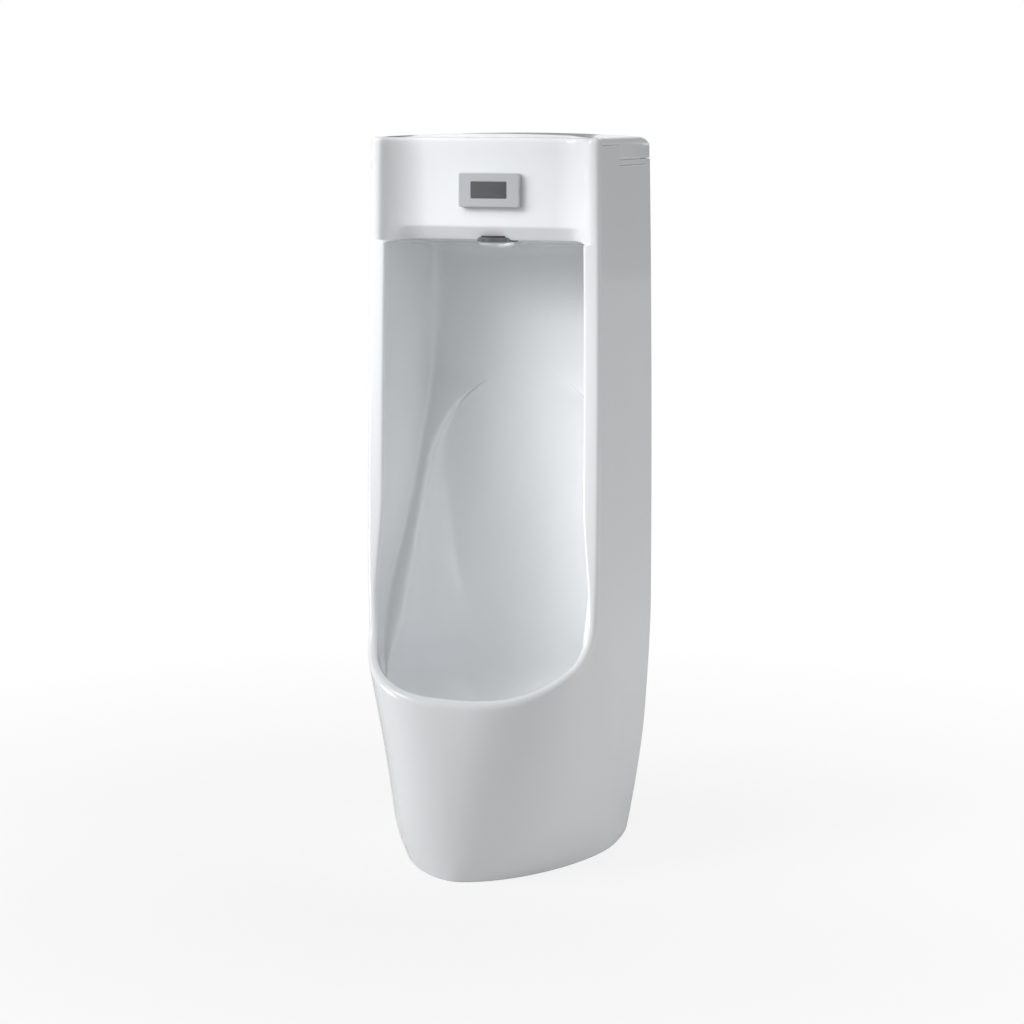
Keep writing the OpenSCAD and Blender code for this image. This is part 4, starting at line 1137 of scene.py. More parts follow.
        points = np.stack([place(away[:, 0] * r, c.drain_d + away[:, 1] * r, z) for r, z in rings])
        inner = np.full(points.shape, np.nan)
        for row, (r, z) in under.items():
            inner[row] = place(away[:, 0] * r, c.drain_d + away[:, 1] * r, z)
        skin.grid(points, 8.0, inner)

    def add_floor_edge(self, skin: Skin, row: Array, insets: Array) -> None:
        """Rounds the foot's edge under and runs it flat inward to the wall's thickness.

        Args:
            skin: The skin to add to.
            row: Last row of the outer side.
            insets: How far the rear edge's columns are already drawn in.
        """
        run = np.gradient(row[:, :2], axis=0)
        run /= np.maximum(np.linalg.norm(run, axis=1, keepdims=True), TINY)
        inward = np.stack([-run[:, 1], run[:, 0]], axis=-1)
        inward[: insets.size][row[:, 1] < 20] = (-1.0, 0.0)
        inward[-1] = (0.0, -1.0)
        r, wall = self.floor_r, self.wall_t
        t = np.linspace(0, math.pi / 2, 6)[:, None]
        base = np.maximum(insets, 0.0)[None, :]
        reach = np.concatenate([np.maximum(r * (1 - np.cos(t)) - base, 0), np.maximum(wall - base, 0)])
        z = np.concatenate([r * (1 - np.sin(t)), [[0.0]]]) + 0 * reach
        x = row[None, :, 0] + inward[None, :, 0] * reach
        d = row[None, :, 1] + inward[None, :, 1] * reach
        x[:, -1] = 0.0
        points = place(x, d, z)
        lift = np.linspace(r, 1.0, 7)[:, None]
        inner = place(x[-1], d[-1], lift + 0 * x)
        inner[0] = np.nan
        skin.grid(points, wall, inner, flip=True)


# ---------------------------------------------------------------- pieces beside the shell


def bar(
    name: str, outline: Array, ends: tuple[float, float], along: int, edge: float = 1.0
) -> bpy.types.Object:
    """Makes a straight bar of a constant outline with softened ends.

    Near an end the outline is drawn in about its middle by edge (1 - sin t), set back by edge (1 - cos t).

    Args:
        name: The object's name.
        outline: Points by 2: depth and height for a bar across, sideways place and height for one along.
        ends: Where the bar starts and stops, in millimetres.
        along: 0 for a bar across the width, 1 for a bar along the depth.
        edge: Radius of the softened end.

    Returns:
        The new object.
    """
    t = np.linspace(0, math.pi / 2, 4)
    places = np.concatenate([ends[0] + edge * (1 - np.sin(t)), ends[1] - edge * (1 - np.sin(t[::-1]))])
    places = np.sort(places)
    inset = np.concatenate([edge * (1 - np.cos(t[::-1])), edge * (1 - np.cos(t))])
    middle = outline.mean(axis=0)
    away = outline - middle
    reach = np.linalg.norm(away, axis=1, keepdims=True)
    rings = []
    for at, draw in zip(places, inset):
        flat = middle + away * (1 - draw / np.maximum(reach, 1e-6))
        x, d = (at + 0 * flat[:, 0], flat[:, 0]) if along == 0 else (flat[:, 0], at + 0 * flat[:, 0])
        rings.append(place(x, d, flat[:, 1]))
    return stacked(name, rings)


def softened(corners: list[tuple[float, float]], radius: float, steps: int = 4) -> Array:
    """Rounds a closed outline's corners: each becomes a quadratic curve between points one radius off.

    Args:
        corners: The outline's corners.
        radius: How far from a corner its curve starts.
        steps: Points in each curve.

    Returns:
        Points by 2.
    """
    c = np.array(corners, dtype=float)
    before, after = np.roll(c, 1, axis=0) - c, np.roll(c, -1, axis=0) - c
    a = c + before / np.linalg.norm(before, axis=1, keepdims=True) * radius
    b = c + after / np.linalg.norm(after, axis=1, keepdims=True) * radius
    t = np.linspace(0, 1, steps)[None, :, None]
    curve = (1 - t) ** 2 * a[:, None] + 2 * t * (1 - t) * c[:, None] + t**2 * b[:, None]
    return curve.reshape(-1, 2)


def box(near: float, far: float, low: float, high: float) -> list[tuple[float, float]]:
    """Corners of an upright rectangle."""
    return [(near, low), (near, high), (far, high), (far, low)]


@dataclass
class CeramicWebs:
    """Closed parts of the casting behind the shell: chamber floor, cross rib and foot bar."""

    chamber_z: float = 886.0
    rib_z: float = 700.0
    rib_t: float = 16.0
    rear_d: float = 0.6

    def build(self) -> list[bpy.types.Object]:
        """Makes the three bars across the width."""
        floor = [(self.rear_d, 829.5), (self.rear_d, self.chamber_z), (180.4, self.chamber_z)]
        floor += [(180.4, 880.5), (60.0, 861.5), (44.0, 850.0), (37.5, 829.5)]
        rib = box(self.rear_d, 42.0, self.rib_z, self.rib_z + self.rib_t)
        foot = box(self.rear_d, 14.0, 0.4, 24.0)
        webs: dict[str, tuple[list[tuple[float, float]], float, float]] = {
            "chamber_floor": (floor, 1.5, 156.0),
            "cross_rib": (rib, 3.0, 160.0),
            "foot_bar": (foot, 3.0, 137.0),
        }
        return [bar(name, softened(line, r), (-half, half), 0) for name, (line, r, half) in webs.items()]


@dataclass
class TopLid:
    """The lift-off lid: a crowned slab with a skirt at each side, and the strips it rests on."""

    seat_z: float = 990.0
    skirt_z: float = 970.0
    strip_z: float = 962.0
    side_x: float = 164.9
    front_d: float = 209.1
    panel_d: float = 179.8
    rear_d: float = 3.0
    skirt_d: float = 136.6
    low_x: float = 165.5
    inner_x: float = 152.6
    flat_x: float = 95.0
    fillet_r: float = 65.57
    crown: float = 5.0
    body_h: float = 1000.0
    edge_r: float = 3.2
    rear_run: float = 42.0
    rear_drop: float = 12.0
    rear_r: float = 6.0
    middle_d: float = 100.0

    def height(self, x: Array, d: Array) -> Array:
        """Top surface: a shallow arc across, rounded down at the back by an ellipse quarter."""
        arc = (self.side_x**2 + self.crown**2) / (2 * self.crown)
        near = np.clip((self.rear_d + self.rear_run - d) / self.rear_run, 0, 1)
        drop = self.rear_drop * (1 - np.sqrt(1 - near**2))
        return np.maximum(self.body_h + self.crown - x**2 / (2 * arc) - drop, self.seat_z + 4.2)

    def outline(self) -> Array:
        """Plan of the slab, right half from the front's middle to the rear's middle, then mirrored."""
        flat = np.stack([np.linspace(0, self.flat_x, 16), np.full(16, self.panel_d)], axis=-1)
        ax = np.linspace(self.flat_x, 149.8, 12)[1:]
        hollow = self.panel_d + self.fillet_r - np.sqrt(self.fillet_r**2 - (ax - self.flat_x) ** 2)
        arc = np.stack([ax, hollow], -1)
        wide, deep = self.side_x, self.front_d
        corner = [(ax[-1] + 1.2, deep - 0.4), (152.4, deep), (wide - 1.5, deep), (wide - 0.4, deep - 0.4)]
        corner += [(wide, deep - 1.5)]
        near = self.rear_d + self.rear_run
        r = self.rear_r
        fall = near - (self.rear_run - r) * np.sin(np.linspace(0, math.pi / 2, 14))
        sd = np.concatenate([np.linspace(deep - 1.5, near, 18)[1:], fall[1:]])
        side = np.stack([np.full(sd.size, wide), sd], axis=-1)
        t = np.linspace(0, math.pi / 2, 6)[1:]
        turn = np.stack([wide - r * (1 - np.cos(t)), self.rear_d + r * (1 - np.sin(t))], axis=-1)
        rx = np.linspace(wide - r, 0, 20)[1:]
        rear = np.stack([rx, np.full(rx.size, self.rear_d)], axis=-1)
        half = np.concatenate([flat, arc, np.array(corner), side, turn, rear])
        return np.concatenate([half, half[-2:0:-1] * np.array([-1.0, 1.0])])

    def slab(self) -> bpy.types.Object:
        """Rings from the underside up the edge, over its radius and in to the middle of the crown."""
        line = self.outline()
        run = np.roll(line, -1, axis=0) - np.roll(line, 1, axis=0)
        run /= np.linalg.norm(run, axis=1, keepdims=True)
        inward = np.stack([run[:, 1], -run[:, 0]], axis=-1)
        r = self.edge_r
        rings = []
        for inset, rise in ((0.8, 0.2), (0.2, 0.4), (0.0, 1.0)):
            flat = (line + inward * inset).T
            rings.append(place(*flat, self.seat_z + rise))
        for t in np.linspace(0, math.pi / 2, 6):
            flat = (line + inward * (r * (1 - math.cos(t)))).T
            rings.append(place(*flat, self.height(*flat) - r + r * math.sin(t)))
        drawn, centre = line + inward * r, np.array([0.0, self.middle_d])
        for share in np.linspace(1, 0.02, 12)[1:]:
            flat = (centre + (drawn - centre) * share).T
            rings.append(place(*flat, self.height(*flat)))
        return stacked("lid_slab", rings, 50.0)

    def skirt(self, side: int) -> bpy.types.Object:
        """The skirt at one side, under the slab."""
        low, top = self.skirt_z + 0.5, self.seat_z + 1.5
        corners = [(self.inner_x, low), (self.low_x, low), (self.side_x + 0.2, top), (self.inner_x, top)]
        outline = softened(corners, 1.4) * np.array([side, 1.0])
        return bar(f"lid_skirt_{side + 1}", outline, (self.rear_d + 0.5, self.skirt_d), 1, 1.6)

    def strips(self) -> bpy.types.Object:
        """The two strips that the skirts rest on."""
        low, top = self.strip_z + 0.3, self.skirt_z - 0.4
        corners = [(152.2, low), (self.low_x, low), (self.low_x, top), (152.2, top)]
        parts = []
        for side in (-1, 1):
            outline = softened(corners, 0.8) * np.array([side, 1.0])
            parts.append(bar(f"strip_{side + 1}", outline, (20.3, 137.7), 1, 0.8))
        return joined("seat_strips", parts)

    def build(self) -> bpy.types.Object:
        """Makes the lid of its slab and two skirts."""
        return joined("lid_glaze", [self.slab(), self.skirt(-1), self.skirt(1)])


@dataclass
class SensorFace:
    """The sensor's plate with its softened edges, and the dark window in it."""

    centre_z: float = 929.5
    back_d: float = 192.8
    front_d: float = 201.0
    half_w: float = 44.0
    half_h: float = 23.0
    corner: float = 3.0
    window_w: float = 26.0
    window_h: float = 11.5
    recess: float = 3.2
    edge_r: float = 1.1

    def ring(self, half_w: float, half_h: float, radius: float, inset: float, d: float) -> Array:
        """A rounded outline at a depth."""
        flat = rounded_ring(half_w, half_h, radius, inset)
        return place(flat[:, 0], d + 0 * flat[:, 0], self.centre_z + flat[:, 1])

    def plate(self) -> bpy.types.Object:
        """Rings from the back round the edge to the face and down into the window's recess."""
        size = (self.half_w, self.half_h, self.corner)
        hole = (self.window_w, self.window_h, 1.2)
        r, front = self.edge_r, self.front_d
        turns = np.linspace(0, math.pi / 2, 5)
        over = [(r * (1 - math.cos(t)), front - r * (1 - math.sin(t))) for t in turns]
        outside = [(0.5, self.back_d), (0.0, self.back_d + 0.5), *over, (r + 0.5, front)]
        inside = [(-0.85, front), (-0.35, front), (-0.1, front - 0.12), (0.0, front - 0.4)]
        inside += [(0.0, front - self.recess + 0.1)]
        rings = [self.ring(*size, *at) for at in outside] + [self.ring(*hole, *at) for at in inside]
        return stacked("sensor_plate_face", rings, 35.0)

    def window(self) -> bpy.types.Object:
        """A slab with a softened front edge that fills the recess."""
        size = (self.window_w - 0.15, self.window_h - 0.15, 1.0)
        deep, front = self.front_d - self.recess + 0.15, self.front_d - 0.3
        steps = ((0.0, deep), (0.0, front - 0.35), (0.12, front - 0.1), (0.4, front))
        return stacked("sensor_window_face", [self.ring(*size, *at) for at in steps], 35.0)


@dataclass
class SupplyHose:
    """The braided hose between the stop valve and the valve."""

    start_x: float = 52.2
    bend_x: float = 85.0
    bend_r: float = 33.0
    end_x: float = 118.0
    valve_d: float = 85.0
    end_d: float = 46.2
    z: float = 920.0
    radius: float = 6.5

    def build(self) -> bpy.types.Object:
        """Carries a circle along a straight, a quarter circle and a straight.

        Returns:
            The hose, with the attribute braid: cosine and sine of the turn about it, and metres along it.
        """
        t = np.linspace(0, math.pi / 2, 20)
        stop_d = self.valve_d - self.bend_r
        first = np.linspace((self.start_x, self.valve_d), (self.bend_x, self.valve_d), 12)[:-1]
        bend = np.stack([self.bend_x + self.bend_r * np.sin(t), stop_d + self.bend_r * np.cos(t)], -1)
        path = np.concatenate([first, bend, [[self.end_x, self.end_d]]])
        run = np.gradient(path, axis=0)
        run /= np.linalg.norm(run, axis=1, keepdims=True)
        side = np.stack([-run[:, 1], run[:, 0]], axis=-1)
        a = np.linspace(0, 2 * math.pi, 33)[:-1]
        spread = side[:, None, :] * np.cos(a)[None, :, None] * self.radius
        flat = path[:, None, :] + spread
        rings = place(flat[..., 0], flat[..., 1], self.z + self.radius * np.sin(a)[None, :])
        hose = stacked("hose_braid", list(rings), 60.0)
        co = np.empty(len(hose.data.vertices) * 3, dtype=np.float32)
        hose.data.vertices.foreach_get("co", co)
        co = co.reshape(-1, 3) / MM
        flat = np.stack([co[:, 0], WALL_Y - co[:, 1]], axis=-1)
        near = np.argmin(((flat[:, None] - path[None]) ** 2).sum(-1), axis=1)
        off = ((flat - path[near]) * side[near]).sum(-1)
        turn = np.arctan2(co[:, 2] - self.z, off)
        length = np.concatenate([[0], np.cumsum(np.linalg.norm(np.diff(path, axis=0), axis=1))]) * MM
        braid = hose.data.attributes.new("braid", "FLOAT_VECTOR", "POINT")
        values = np.stack([np.cos(turn), np.sin(turn), length[near]], axis=-1)
        braid.data.foreach_set("vector", values.astype(np.float32).ravel())
        return hose


# ---------------------------------------------------------------- finishes


class Wire:
    """A node's output that arithmetic works on; each operation adds one Math node."""

    def __init__(self, kit: Nodes, socket: bpy.types.NodeSocket) -> None:
        """Holds the socket and the node kit it belongs to."""
        self.kit = kit
        self.socket = socket

    def _join(self, operation: str, *values: Any) -> Wire:
        """Adds a Math node of an operation on values."""
        node = self.kit.tree.nodes.new("ShaderNodeMath")
        node.operation = operation
        for slot, value in zip(node.inputs, values):
            self.kit.feed(slot, value)
        return Wire(self.kit, node.outputs[0])

    def __add__(self, other: Any) -> Wire:
        """Sum."""
        return self._join("ADD", self, other)

    def __sub__(self, other: Any) -> Wire:
        """Difference."""
        return self._join("SUBTRACT", self, other)

    def __rsub__(self, other: Any) -> Wire:
        """Difference, the other way round."""
        return self._join("SUBTRACT", other, self)

    def __mul__(self, other: Any) -> Wire:
        """Product."""
        return self._join("MULTIPLY", self, other)

    def __truediv__(self, other: Any) -> Wire:
        """Quotient."""
        return self._join("DIVIDE", self, other)

    def sine(self) -> Wire:
        """Sine."""
        return self._join("SINE", self)

    def turn_of(self, other: Any) -> Wire:
        """Angle whose sine and cosine go with this and the other."""
        return self._join("ARCTAN2", self, other)

    def held(self) -> Wire:
        """This value held between none and one."""
        wire = self._join("ADD", self, 0.0)
        wire.socket.node.use_clamp = True
        return wire


class Nodes:
    """The node tree of a material or world, filled by value."""

    def __init__(self, owner: bpy.types.Material | bpy.types.World) -> None:
        """Clears the owner's tree."""
        owner.use_nodes = True
        self.tree = owner.node_tree
        self.tree.nodes.clear()

    def feed(self, slot: bpy.types.NodeSocket, value: Any) -> None:
        """Links a wire to an input, or sets its value."""
        if isinstance(value, Wire):
            self.tree.links.new(value.socket, slot)
        else:
            slot.default_value = value

    def node(
        self, kind: str, settings: dict[str, Any], values: dict[str | int, Any], out: str | int = 0
    ) -> Wire | None:
        """Adds a node.

        Args:
            kind: The node's type.
            settings: Properties, set before the inputs.
            values: Inputs by name or place: numbers, colours or wires.
            out: Which output to give back.

        Returns:
            That output, or nothing where the node has none.
        """
        node = self.tree.nodes.new(kind)
        for name, value in settings.items():
            setattr(node, name, value)
        for name, value in values.items():
            self.feed(node.inputs[name], value)
        return Wire(self, node.outputs[out]) if len(node.outputs) else None

    def mixed(self, share: Any, a: Any, b: Any) -> Wire:
        """Mixes two colours by a share."""
        return self.node("ShaderNodeMix", {"data_type": "RGBA"}, {0: share, 6: a, 7: b}, 2)

    def noise(self, where: Wire, scale: float, detail: float = 2.0) -> Wire:
        """Noise value at a place."""
        values = {"Vector": where, "Scale": scale, "Detail": detail}
        return self.node("ShaderNodeTexNoise", {}, values, "Fac")

    def cells(self, where: Wire, feature: str, scale: float) -> Wire:
        """Distance of a place in Voronoi cells."""
        values = {"Vector": where, "Scale": scale}
        return self.node("ShaderNodeTexVoronoi", {"feature": feature}, values, "Distance")

    def parts(self, vector: Wire) -> list[Wire]:
        """The three parts of a vector."""
        split = self.tree.nodes.new("ShaderNodeSeparateXYZ")
        self.feed(split.inputs[0], vector)
        return [Wire(self, part) for part in split.outputs]

    def ray(self, *kinds: str) -> Wire:
        """One for rays of the given kinds, else none."""
        outputs = self.tree.nodes.new("ShaderNodeLightPath").outputs
        first, *others = (Wire(self, outputs[f"Is {kind} Ray"]) for kind in kinds)
        for other in others:
            first = (first + other).held()
        return first

    def stretched(self, where: Wire, scale: tuple[float, float, float]) -> Wire:
        """A place stretched by a Mapping node."""
        return self.node("ShaderNodeMapping", {}, {"Vector": where, "Scale": scale})


class Grain(Enum):
    """How a surface is worked."""

    GLAZE = "glaze"
    POLISHED = "polished"
    PLATED = "plated"
    # PLATED: chrome whose colour carries a painted shade band and a partly painted bright reflection.
    BRUSHED = "brushed"
    TURNED = "turned"
    MOULDED = "moulded"
    SHEATH = "sheath"
    BOARD = "board"
    FIBRE = "fibre"
    BRAID = "braid"
    SMOKED = "smoked"


@dataclass(frozen=True)
class Finish:
    """One finish: its colour, gloss and the marks of how it is made; on the chrome, also a painted shade
    band.
    """

    slot: str
    colour: tuple[float, float, float]
    rough: float
    grain: Grain
    metal: float = 0.0
    coat: float = 0.0
    tint: float = 0.03
    spread: float = 0.04
    relief: float = 0.02

    def pattern(self, kit: Nodes) -> tuple[Wire, Wire, Wire]:
        """Colour share, gloss share and height of the marks.

        Args:
            kit: The material's nodes.

        Returns:
            Three values from none to one.
        """
        where = kit.node("ShaderNodeTexCoord", {}, {}, "Object")
        broad = kit.noise(where, 7.0, 3.0)
        if self.grain is Grain.GLAZE:
            peel = kit.noise(where, 85.0, 1.5)
            sag = kit.noise(kit.stretched(where, (5.0, 5.0, 2.6)), 1.0, 1.0)
            pin = 1.0 - (kit.cells(where, "F1", 34.0) * 42.0).held()
            return (broad * 0.85 + pin * 0.15).held(), broad, peel * 0.35 + sag * 0.65
        # Chrome cap: colour is darker in a band between the two band heights, a painted shade standing in
        # for the dark reflection of the shaded lip. Elsewhere it is light with a little random tone; that
        # light colour is partly the chrome's own and partly a painted bright reflection of the dome.
        if self.grain is Grain.PLATED:
            haze = kit.noise(where, HAZE_SCALE, 3.0)
            z = kit.parts(where)[2]
            low, high = (edge * MM for edge in CAP_PAINTED_SHADE_BAND)
            band = ((z - low) * PAINTED_SHADE_EDGE).held() * ((high - z) * PAINTED_SHADE_EDGE).held()
            return (1.0 - band) * 0.9 + broad * 0.1, haze, haze
        if self.grain in (Grain.POLISHED, Grain.SMOKED):
            haze = kit.noise(where, HAZE_SCALE, 3.0)
            return broad, haze, haze
        if self.grain is Grain.BRUSHED:
            line = kit.noise(kit.stretched(where, (14.0, 1500.0, 1500.0)), 1.0, 2.0)
            return (line * 0.6 + broad * 0.4), line, line
        if self.grain is Grain.TURNED:
            ring = kit.node(
                "ShaderNodeTexWave",
                {"wave_type": "BANDS", "bands_direction": "Z"},
                {"Vector": where, "Scale": 420.0, "Distortion": 0.6, "Detail": 1.0},
                "Fac",
            )
            cast = kit.noise(where, 600.0, 3.0)
            return (broad * 0.7 + cast * 0.3), cast, ring * 0.5 + cast * 0.5
        if self.grain is Grain.BOARD:
            weave = kit.node(
                "ShaderNodeTexBrick",
                {"offset": 0.5},
                {"Vector": kit.stretched(where, (1.0, 1.0, 1.0)), "Scale": 160.0, "Mortar Size": 0.03},
                "Fac",
            )
            track = 1.0 - (kit.cells(where, "DISTANCE_TO_EDGE", 300.0) * 9.0).held()
            return (track * 0.8 + weave * 0.2).held(), broad, track
        if self.grain is Grain.FIBRE:
            felt = kit.noise(kit.stretched(where, (900.0, 900.0, 300.0)), 1.0, 4.0)
            return felt, felt, felt
        if self.grain is Grain.BRAID:
            ride = kit.node("ShaderNodeAttribute", {"attribute_name": "braid"}, {}, "Vector")
            cosine, sine, along = kit.parts(ride)
            turn = sine.turn_of(cosine)
            one = (turn * BRAID_TURNS + along * BRAID_RUN).sine()
            two = (turn * BRAID_TURNS - along * BRAID_RUN).sine()
            strand = (one * two * 0.5 + 0.5).held()
            return strand, strand, strand
        if self.grain is Grain.SHEATH:
            skin = kit.noise(where, 900.0, 2.0)
            return (broad * 0.5 + skin * 0.5), skin, skin
        pebble = kit.noise(where, 1500.0, 2.0)
        return (broad * 0.7 + pebble * 0.3), pebble, pebble

    def material(self) -> bpy.types.Material:
        """Makes the material: colour, gloss and relief vary by the pattern, the rest is set outright."""
        made = bpy.data.materials.new(self.slot)
        kit = Nodes(made)
        share, gloss, height = self.pattern(kit)
        low = tuple(c * (1 - self.tint) for c in self.colour)
        high = tuple(min(c * (1 + self.tint), 1.0) for c in self.colour)
        colour = kit.mixed(share, (*low, 1.0), (*high, 1.0))
        bump = kit.node(
            "ShaderNodeBump", {}, {"Strength": 1.0, "Distance": self.relief * MM, "Height": height}
        )
        values: dict[str | int, Any] = {
            "Base Color": colour,
            "Roughness": (gloss * (2 * self.spread) + (self.rough - self.spread)).held(),
            "Metallic": self.metal,
            "Coat Weight": self.coat,
            "Coat Roughness": 0.03,
            "Normal": bump,
        }
        shader = kit.node("ShaderNodeBsdfPrincipled", {}, values)
        kit.node("ShaderNodeOutputMaterial", {}, {"Surface": shader})
        return made


FINISHES = (
    Finish(
        "white_glazed_ceramic",
        (0.835, 0.855, 0.872),
        0.1,
        Grain.GLAZE,
        coat=0.3,
        tint=0.012,
        spread=0.03,
        relief=0.35,
    ),
    Finish("pale_grey_strip", (0.8, 0.815, 0.83), 0.35, Grain.MOULDED),
    Finish("satin_silver", (0.6, 0.62, 0.64), 0.34, Grain.BRUSHED, metal=0.35, tint=0.04),
    Finish("smoked_window", (0.1, 0.105, 0.11), 0.12, Grain.SMOKED, coat=0.5),
    Finish("black_rubber", (0.03, 0.03, 0.03), 0.7, Grain.SHEATH, tint=0.15),
    Finish("black_plastic", (0.04, 0.04, 0.045), 0.45, Grain.MOULDED, tint=0.12),
    Finish("green_board", (0.03, 0.2, 0.08), 0.3, Grain.BOARD, tint=0.35),
    Finish("clear_grey_plastic", (0.45, 0.47, 0.5), 0.12, Grain.SMOKED, coat=0.5),
    Finish("stainless_steel", (0.62, 0.62, 0.63), 0.28, Grain.BRUSHED, metal=1.0, tint=0.06),
    Finish(
        "polished_chrome",
        (0.6, 0.605, 0.61),
        0.1,
        Grain.PLATED,
        metal=0.8,
        tint=0.6,
        spread=0.02,
        relief=0.004,
    ),
    Finish("yellow_brass", (0.72, 0.55, 0.25), 0.26, Grain.TURNED, metal=1.0, tint=0.06),
    Finish("red_fibre", (0.45, 0.1, 0.07), 0.75, Grain.FIBRE, tint=0.2),
    Finish("white_plastic", (0.8, 0.8, 0.77), 0.38, Grain.MOULDED),
    Finish("braided_steel", (0.6, 0.61, 0.62), 0.3, Grain.BRAID, metal=1.0, tint=0.35, relief=0.5),
    Finish("blue_lever", (0.05, 0.14, 0.45), 0.35, Grain.MOULDED, tint=0.08),
    Finish("grey_plastic", (0.25, 0.26, 0.28), 0.42, Grain.MOULDED, tint=0.06),
    Finish("cell_sleeve", (0.1, 0.16, 0.3), 0.22, Grain.POLISHED, tint=0.05, relief=0.006),
    Finish("black_cable", (0.03, 0.03, 0.035), 0.5, Grain.SHEATH, tint=0.12),
    Finish("white_pipe", (0.82, 0.82, 0.8), 0.24, Grain.MOULDED, tint=0.02, relief=0.008),
    Finish("zinc_steel", (0.58, 0.59, 0.6), 0.4, Grain.TURNED, metal=1.0, tint=0.1),
)


# ---------------------------------------------------------------- studio


@dataclass(frozen=True)
class Lamp:
    """A rectangular soft lamp aimed at the object's axis: degrees from front and up, metres and watts."""

    name: str
    turn: float
    lift: float
    distance: float
    aim_z: float
    size: tuple[float, float]
    watts: float
    spread: float = 180.0
    mirrored: bool = True


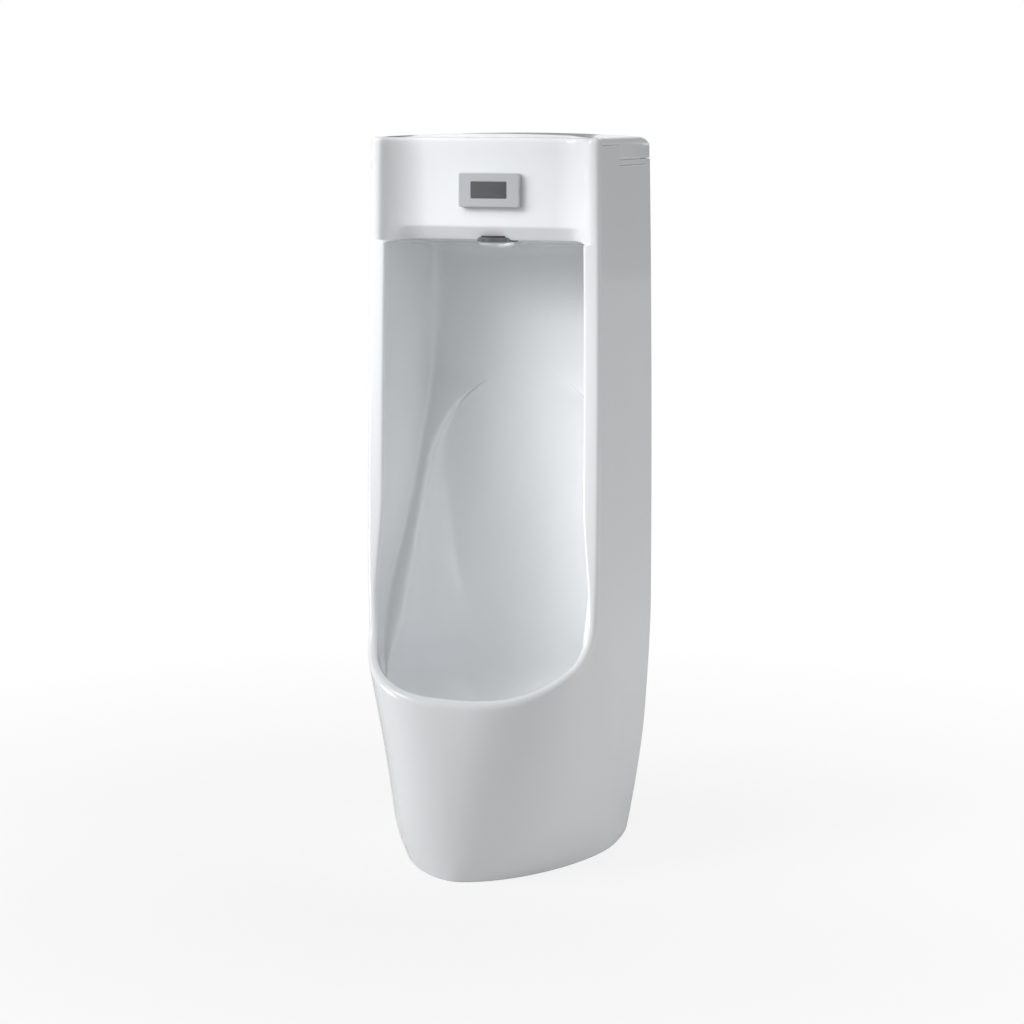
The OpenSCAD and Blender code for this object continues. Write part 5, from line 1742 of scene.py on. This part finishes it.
@dataclass
class Studio:
    """Camera, pale floor, soft lamps and a white ground."""

    lamps: tuple[Lamp, ...] = (
        Lamp("left_high", -32.0, 52.0, 1.2, 0.77, (0.7, 0.5), 0.36, 50.0, False),
        Lamp("left_front", -37.0, 32.0, 1.4, 0.65, (0.6, 0.6), 0.65, 40.0, False),
        Lamp("left_side", -58.0, 25.0, 1.3, 0.7, (0.6, 0.6), 0.78, 44.0),
        Lamp("left_low", -70.0, 0.0, 1.2, 0.12, (0.4, 0.5), 0.65, 50.0),
        Lamp("right_low", 100.0, 0.0, 1.2, 0.2, (0.4, 0.6), 0.2, 80.0),
        Lamp("right_rear", 115.0, 0.0, 1.2, 0.4, (0.4, 1.0), 0.28, 110.0),
        Lamp("behind", 180.0, 28.0, 2.2, 0.55, (1.2, 1.2), 3.0),
    )
    grey: float = 0.49
    shine: float = 0.25
    glow: float = 0.82
    turn: float = 20.0
    height: float = 1044.0
    distance: float = 3736.0
    focal_px: float = 2605.0
    swing: float = 0.0104
    pitch: float = 0.1552
    image_px: float = 1024.0
    sensor_mm: float = 36.0

    def camera(self) -> None:
        """Places the camera: its aim is turned by the swing and lowered by the pitch."""
        az = math.radians(self.turn)
        data = bpy.data.cameras.new("view")
        data.sensor_width = self.sensor_mm
        data.lens = self.focal_px * self.sensor_mm / self.image_px
        data.clip_end = 100.0
        view = linked("view", data)
        view.location = place(self.distance * math.sin(az), self.distance * math.cos(az), self.height)
        view.rotation_euler = (math.pi / 2 - self.pitch, 0.0, az + self.swing)
        bpy.context.scene.camera = view

    def hang(self, lamp: Lamp) -> None:
        """Puts a soft lamp where its turn, lift and distance say, facing its aim.

        Args:
            lamp: The lamp.
        """
        data = bpy.data.lights.new(lamp.name, "AREA")
        data.shape = "RECTANGLE"
        data.size, data.size_y = lamp.size
        data.energy = lamp.watts
        data.spread = math.radians(lamp.spread)
        hung = linked(lamp.name, data)
        turn, lift = math.radians(lamp.turn), math.radians(lamp.lift)
        flat, rise = lamp.distance * math.cos(lift), lamp.distance * math.sin(lift)
        hung.location = (flat * math.sin(turn), -flat * math.cos(turn), lamp.aim_z + rise)
        hung.rotation_euler = (math.pi / 2 - lift, 0.0, turn)
        hung.visible_glossy = lamp.mirrored

    def world(self) -> None:
        """White for the camera and through glass; grey, and darker in reflections, for the object."""
        scene = bpy.context.scene
        scene.world = bpy.data.worlds.new("ground")
        kit = Nodes(scene.world)
        seen, gloss = kit.ray("Camera", "Transmission"), kit.ray("Glossy")
        strength = seen * (1.0 - self.grey) + gloss * (self.shine - self.grey) + self.grey
        ground = kit.node("ShaderNodeBackground", {}, {"Color": (1, 1, 1, 1), "Strength": strength})
        kit.node("ShaderNodeOutputWorld", {}, {"Surface": ground})

    def floor(self) -> None:
        """A pale floor that keeps the shadow near the object and fades to the white ground."""
        line = np.linspace(-14.0, 14.0, 25)
        x, y = np.meshgrid(line, line)
        points = np.stack([x, y, np.full_like(x, -0.0004)], axis=-1).reshape(-1, 3)
        mesh = bpy.data.meshes.new("pale_floor")
        mesh.from_pydata(points.tolist(), [], grid_faces(line.size, line.size).tolist())
        floor = linked("pale_floor", mesh)
        made = bpy.data.materials.new("pale_floor")
        kit = Nodes(made)
        where = kit.node("ShaderNodeTexCoord", {}, {}, "Object")
        far = kit.node("ShaderNodeVectorMath", {"operation": "LENGTH"}, {0: where}, "Value")
        fade = ((far - 0.35) / 1.1).held()
        speck = kit.noise(where, 400.0, 2.0)
        colour = kit.mixed(speck, (0.86, 0.86, 0.86, 1), (0.9, 0.9, 0.9, 1))
        matte = kit.node("ShaderNodeBsdfDiffuse", {}, {"Color": colour})
        white = kit.node("ShaderNodeEmission", {}, {"Color": (1, 1, 1, 1), "Strength": 1.0})
        share = kit.ray("Camera", "Transmission") * (fade * (1.0 - self.glow) + self.glow)
        mix = kit.node("ShaderNodeMixShader", {}, {0: share, 1: matte, 2: white})
        kit.node("ShaderNodeOutputMaterial", {}, {"Surface": mix})
        mesh.materials.append(made)

    def build(self) -> None:
        """Sets up everything but the object."""
        self.camera()
        self.world()
        self.floor()
        for lamp in self.lamps:
            self.hang(lamp)
        bpy.context.scene.view_settings.view_transform = "Standard"


@dataclass
class Urinal:
    """The whole object: new pieces in place of some nodes, finishes on all."""

    frame: dict[str, Any]
    made: dict[str, bpy.types.Material] = field(default_factory=dict)

    def material(self, slot: str) -> bpy.types.Material:
        """The material of a record's slot, made when first asked for."""
        if slot not in self.made:
            self.made[slot] = next(f for f in FINISHES if f.slot == slot).material()
        return self.made[slot]

    def add(self, piece: bpy.types.Object, body: str, slot: str, *nodes: str) -> None:
        """Dresses a new piece and ties it to its body.

        Args:
            piece: The new piece.
            body: The body it moves with.
            slot: The record's material slot.
            nodes: The nodes it stands for.
        """
        piece.data.materials.clear()
        piece.data.materials.append(self.material(slot))
        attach(piece, body)
        if nodes:
            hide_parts(*nodes)
        LOG.info("%s: %d faces, rides on %s", piece.name, len(piece.data.polygons), body)

    def dress_nodes(self) -> None:
        """Gives each node of the frame the finish of its slot."""
        slots = {part["node"]: part["material_slot"] for part in self.frame["record"]["subparts"]}
        for name, node in self.frame["nodes"].items():
            made = self.material(slots[name])
            for slot in node.material_slots:
                slot.material = made
            LOG.info("%s: %s", name, slots[name])

    def build(self) -> None:
        """Makes and places every piece."""
        self.dress_nodes()
        ceramic = "white_glazed_ceramic"
        self.add(CeramicBody().build(), "urinal", ceramic, "ceramic_body")
        for web in CeramicWebs().build():
            self.add(web, "urinal", ceramic)
        lid = TopLid()
        self.add(lid.build(), "top_lid", ceramic, "top_lid")
        self.add(lid.strips(), "urinal", "pale_grey_strip", "lid_seat_strips")
        face = SensorFace()
        self.add(face.plate(), "urinal", "satin_silver", "sensor_plate")
        self.add(face.window(), "urinal", "smoked_window", "sensor_window")
        self.add(SupplyHose().build(), "urinal", "braided_steel", "supply_hose")


def main() -> None:
    """Loads the frame, dresses it and sets the studio."""
    logging.basicConfig(level=logging.INFO, format="%(name)s: %(message)s")
    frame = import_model()
    Studio().build()
    Urinal(frame).build()


if __name__ == "__main__":
    main()
